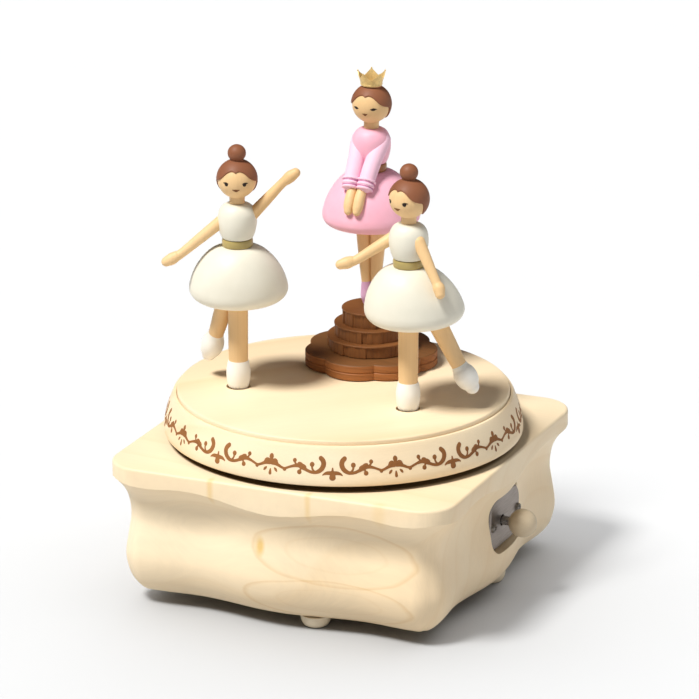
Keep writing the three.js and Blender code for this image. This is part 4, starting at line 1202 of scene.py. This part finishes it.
def crown(where):
    """A flared crown with five points, a rim at its foot and a bead on each point."""
    bottom = HEAD_CENTRE + HAIR_RADIUS - 0.4
    per_point = 16
    count = CROWN_POINTS * per_point

    def wall(height_share, inward):
        ring = []
        for i in range(count):
            angle = TURN * i / count + CROWN_TURN
            share = abs((i % per_point) / per_point * 2 - 1)
            height = height_share * (CROWN_VALLEY + (CROWN_TIP - CROWN_VALLEY) * share**1.4)
            flare = crown_radius(height) - inward
            ring.append((flare * cos(angle), flare * sin(angle), bottom + height))
        return ring

    shares = [i / 8 for i in range(9)]
    rings = [wall(share, 0) for share in shares]
    rings += [wall(share, CROWN_THICKNESS) for share in reversed(shares)]
    rim = lathe([(r, bottom + z) for r, z in CROWN_RIM], 80, where)
    shapes = [loft(rings, where, loop=True), rim]
    for k in range(CROWN_POINTS):
        angle = TURN * k / CROWN_POINTS + CROWN_TURN
        reach = crown_radius(CROWN_TIP) - CROWN_THICKNESS / 2
        tip = at(reach * cos(angle), reach * sin(angle), bottom + CROWN_TIP)
        shapes.append(ball(0.3, where @ tip, segments=20, rows=12))
    return shapes


def build_princess():
    ground = node_box("princess_belt")[0].z - BELT_BOTTOM
    where = at(PEDESTAL_AXIS.x, PEDESTAL_AXIS.y, ground)
    rows = doll_rows(where, 0, "pink_dress", "princess_belt", hair(where), DROWSY_EYE, 0.8)
    right, left = both = (-1, 1)
    add_figure("princess", "turntable", rows + [
        ("gold_crown", crown(where), "crown_gold", "crown"),
        ("legs", [side_limb(where, side, PRINCESS_LEG) for side in both], "skin_wood", "legs"),
        ("shoes", [side_limb(where, side, PRINCESS_SHOE) for side in both], "pink_sleeve", None,
         "lilac_shoe"),
        ("sleeve_right", side_limb(where, right, SLEEVE), "pink_sleeve", "right_sleeve"),
        ("sleeve_left", side_limb(where, left, SLEEVE), "pink_sleeve", "left_sleeve"),
        ("cuffs", [cuff(where, side, *ridge) for side in both for ridge in CUFF_RIDGES],
         "pink_sleeve", None),
        ("cuff_lines", [cuff(where, side, *line) for side in both for line in CUFF_LINES],
         "pink_sleeve", None, "cuff_line"),
        ("hand_right", side_limb(where, right, MITTEN), "skin_wood", "right_hand"),
        ("hand_left", side_limb(where, left, MITTEN), "skin_wood", "left_hand"),
    ])


# ---- stage, light and camera

FLOOR_REACH = 6000


def build_stage():
    corners = [Vector((x * FLOOR_REACH, y * FLOOR_REACH, FOOT_BOTTOM)) for x, y in CORNER_SIGNS]
    mesh = new_mesh("floor", corners, [(0, 1, 2, 3)])
    n = Nodes("studio_floor")
    mottle = n.noise(n.place((0.01, 0.01, 0.01)), detail=2)
    n.feed(n.shader, {
        "Base Color": n.ramp(mottle, [(0.0, (0.376, 0.379, 0.385)), (1.0, (0.389, 0.392, 0.398))]),
        "Roughness": 0.8, "Specular IOR Level": 0.1,
    })
    mesh.materials.append(n.material)
    floor = in_scene("floor", mesh)
    return floor


def direction(azimuth, elevation):
    """Unit vector towards an azimuth from the front (-Y) and an elevation, in degrees."""
    a, e = radians(azimuth), radians(elevation)
    return Vector((sin(a) * cos(e), -cos(a) * cos(e), sin(e)))


def add_sun(name, azimuth, elevation, strength, softness, colour=(1, 1, 1)):
    """A distant light; azimuth is counted from the front (-Y) towards +X."""
    light = bpy.data.lights.new(name, "SUN")
    light.energy = strength
    light.angle = radians(softness)
    light.color = colour
    lamp = in_scene(name, light)
    lamp.location = direction(azimuth, elevation) * 2
    lamp.rotation_euler = direction(azimuth, elevation).to_track_quat("Z", "Y").to_euler()
    return lamp


def light_stage(floor):
    """A key from the front left, a wide light for the floor alone and a weak fill."""
    add_sun("key", -33, 60, 4.25, 16, (1.0, 0.99, 0.965))
    sky = add_sun("floor_sky", -150, 58, 4.6, 110)
    receivers = bpy.data.collections.new("floor_only")
    receivers.objects.link(floor)
    sky.light_linking.receiver_collection = receivers
    add_sun("fill", 95, 14, 0.85, 100)
    world = bpy.data.worlds.new("studio")
    world.use_nodes = True
    background = world.node_tree.nodes["Background"]
    background.inputs["Color"].default_value = (1, 1, 1, 1)
    background.inputs["Strength"].default_value = 0.07
    bpy.context.scene.world = world
    bpy.context.scene.view_settings.view_transform = "Standard"


# The photo's viewpoint: degrees, metres, lens in mm, and the aim's offset in mm.
CAMERA_AZIMUTH = 23.37
CAMERA_ELEVATION = 18.41
CAMERA_DISTANCE = 1.570
CAMERA_LENS = 245.2
CAMERA_RIGHT = 1.95
CAMERA_UP = 27.28


def add_camera():
    towards = direction(CAMERA_AZIMUTH, CAMERA_ELEVATION)
    right = Vector((0, 0, 1)).cross(towards).normalized()
    up = towards.cross(right)
    target = Vector((0, 0, BASE_TOP * MM)) + (right * CAMERA_RIGHT + up * CAMERA_UP) * MM
    data = bpy.data.cameras.new("camera")
    data.lens = CAMERA_LENS
    data.sensor_width = 36
    data.clip_end = 20
    camera = in_scene("camera", data)
    camera.location = target + towards * CAMERA_DISTANCE
    camera.rotation_euler = towards.to_track_quat("Z", "Y").to_euler()
    bpy.context.scene.camera = camera


finish_cad_nodes()
build_base()
build_feet()
build_plate()
build_screws()
build_ball_knob()
build_ring()
build_disc()
build_scrollwork()
build_pedestal()
build_dancer("left_dancer", LEFT_AXIS, LEFT_YAW)
build_dancer("right_dancer", RIGHT_AXIS, RIGHT_YAW)
build_princess()
light_stage(build_stage())
add_camera()
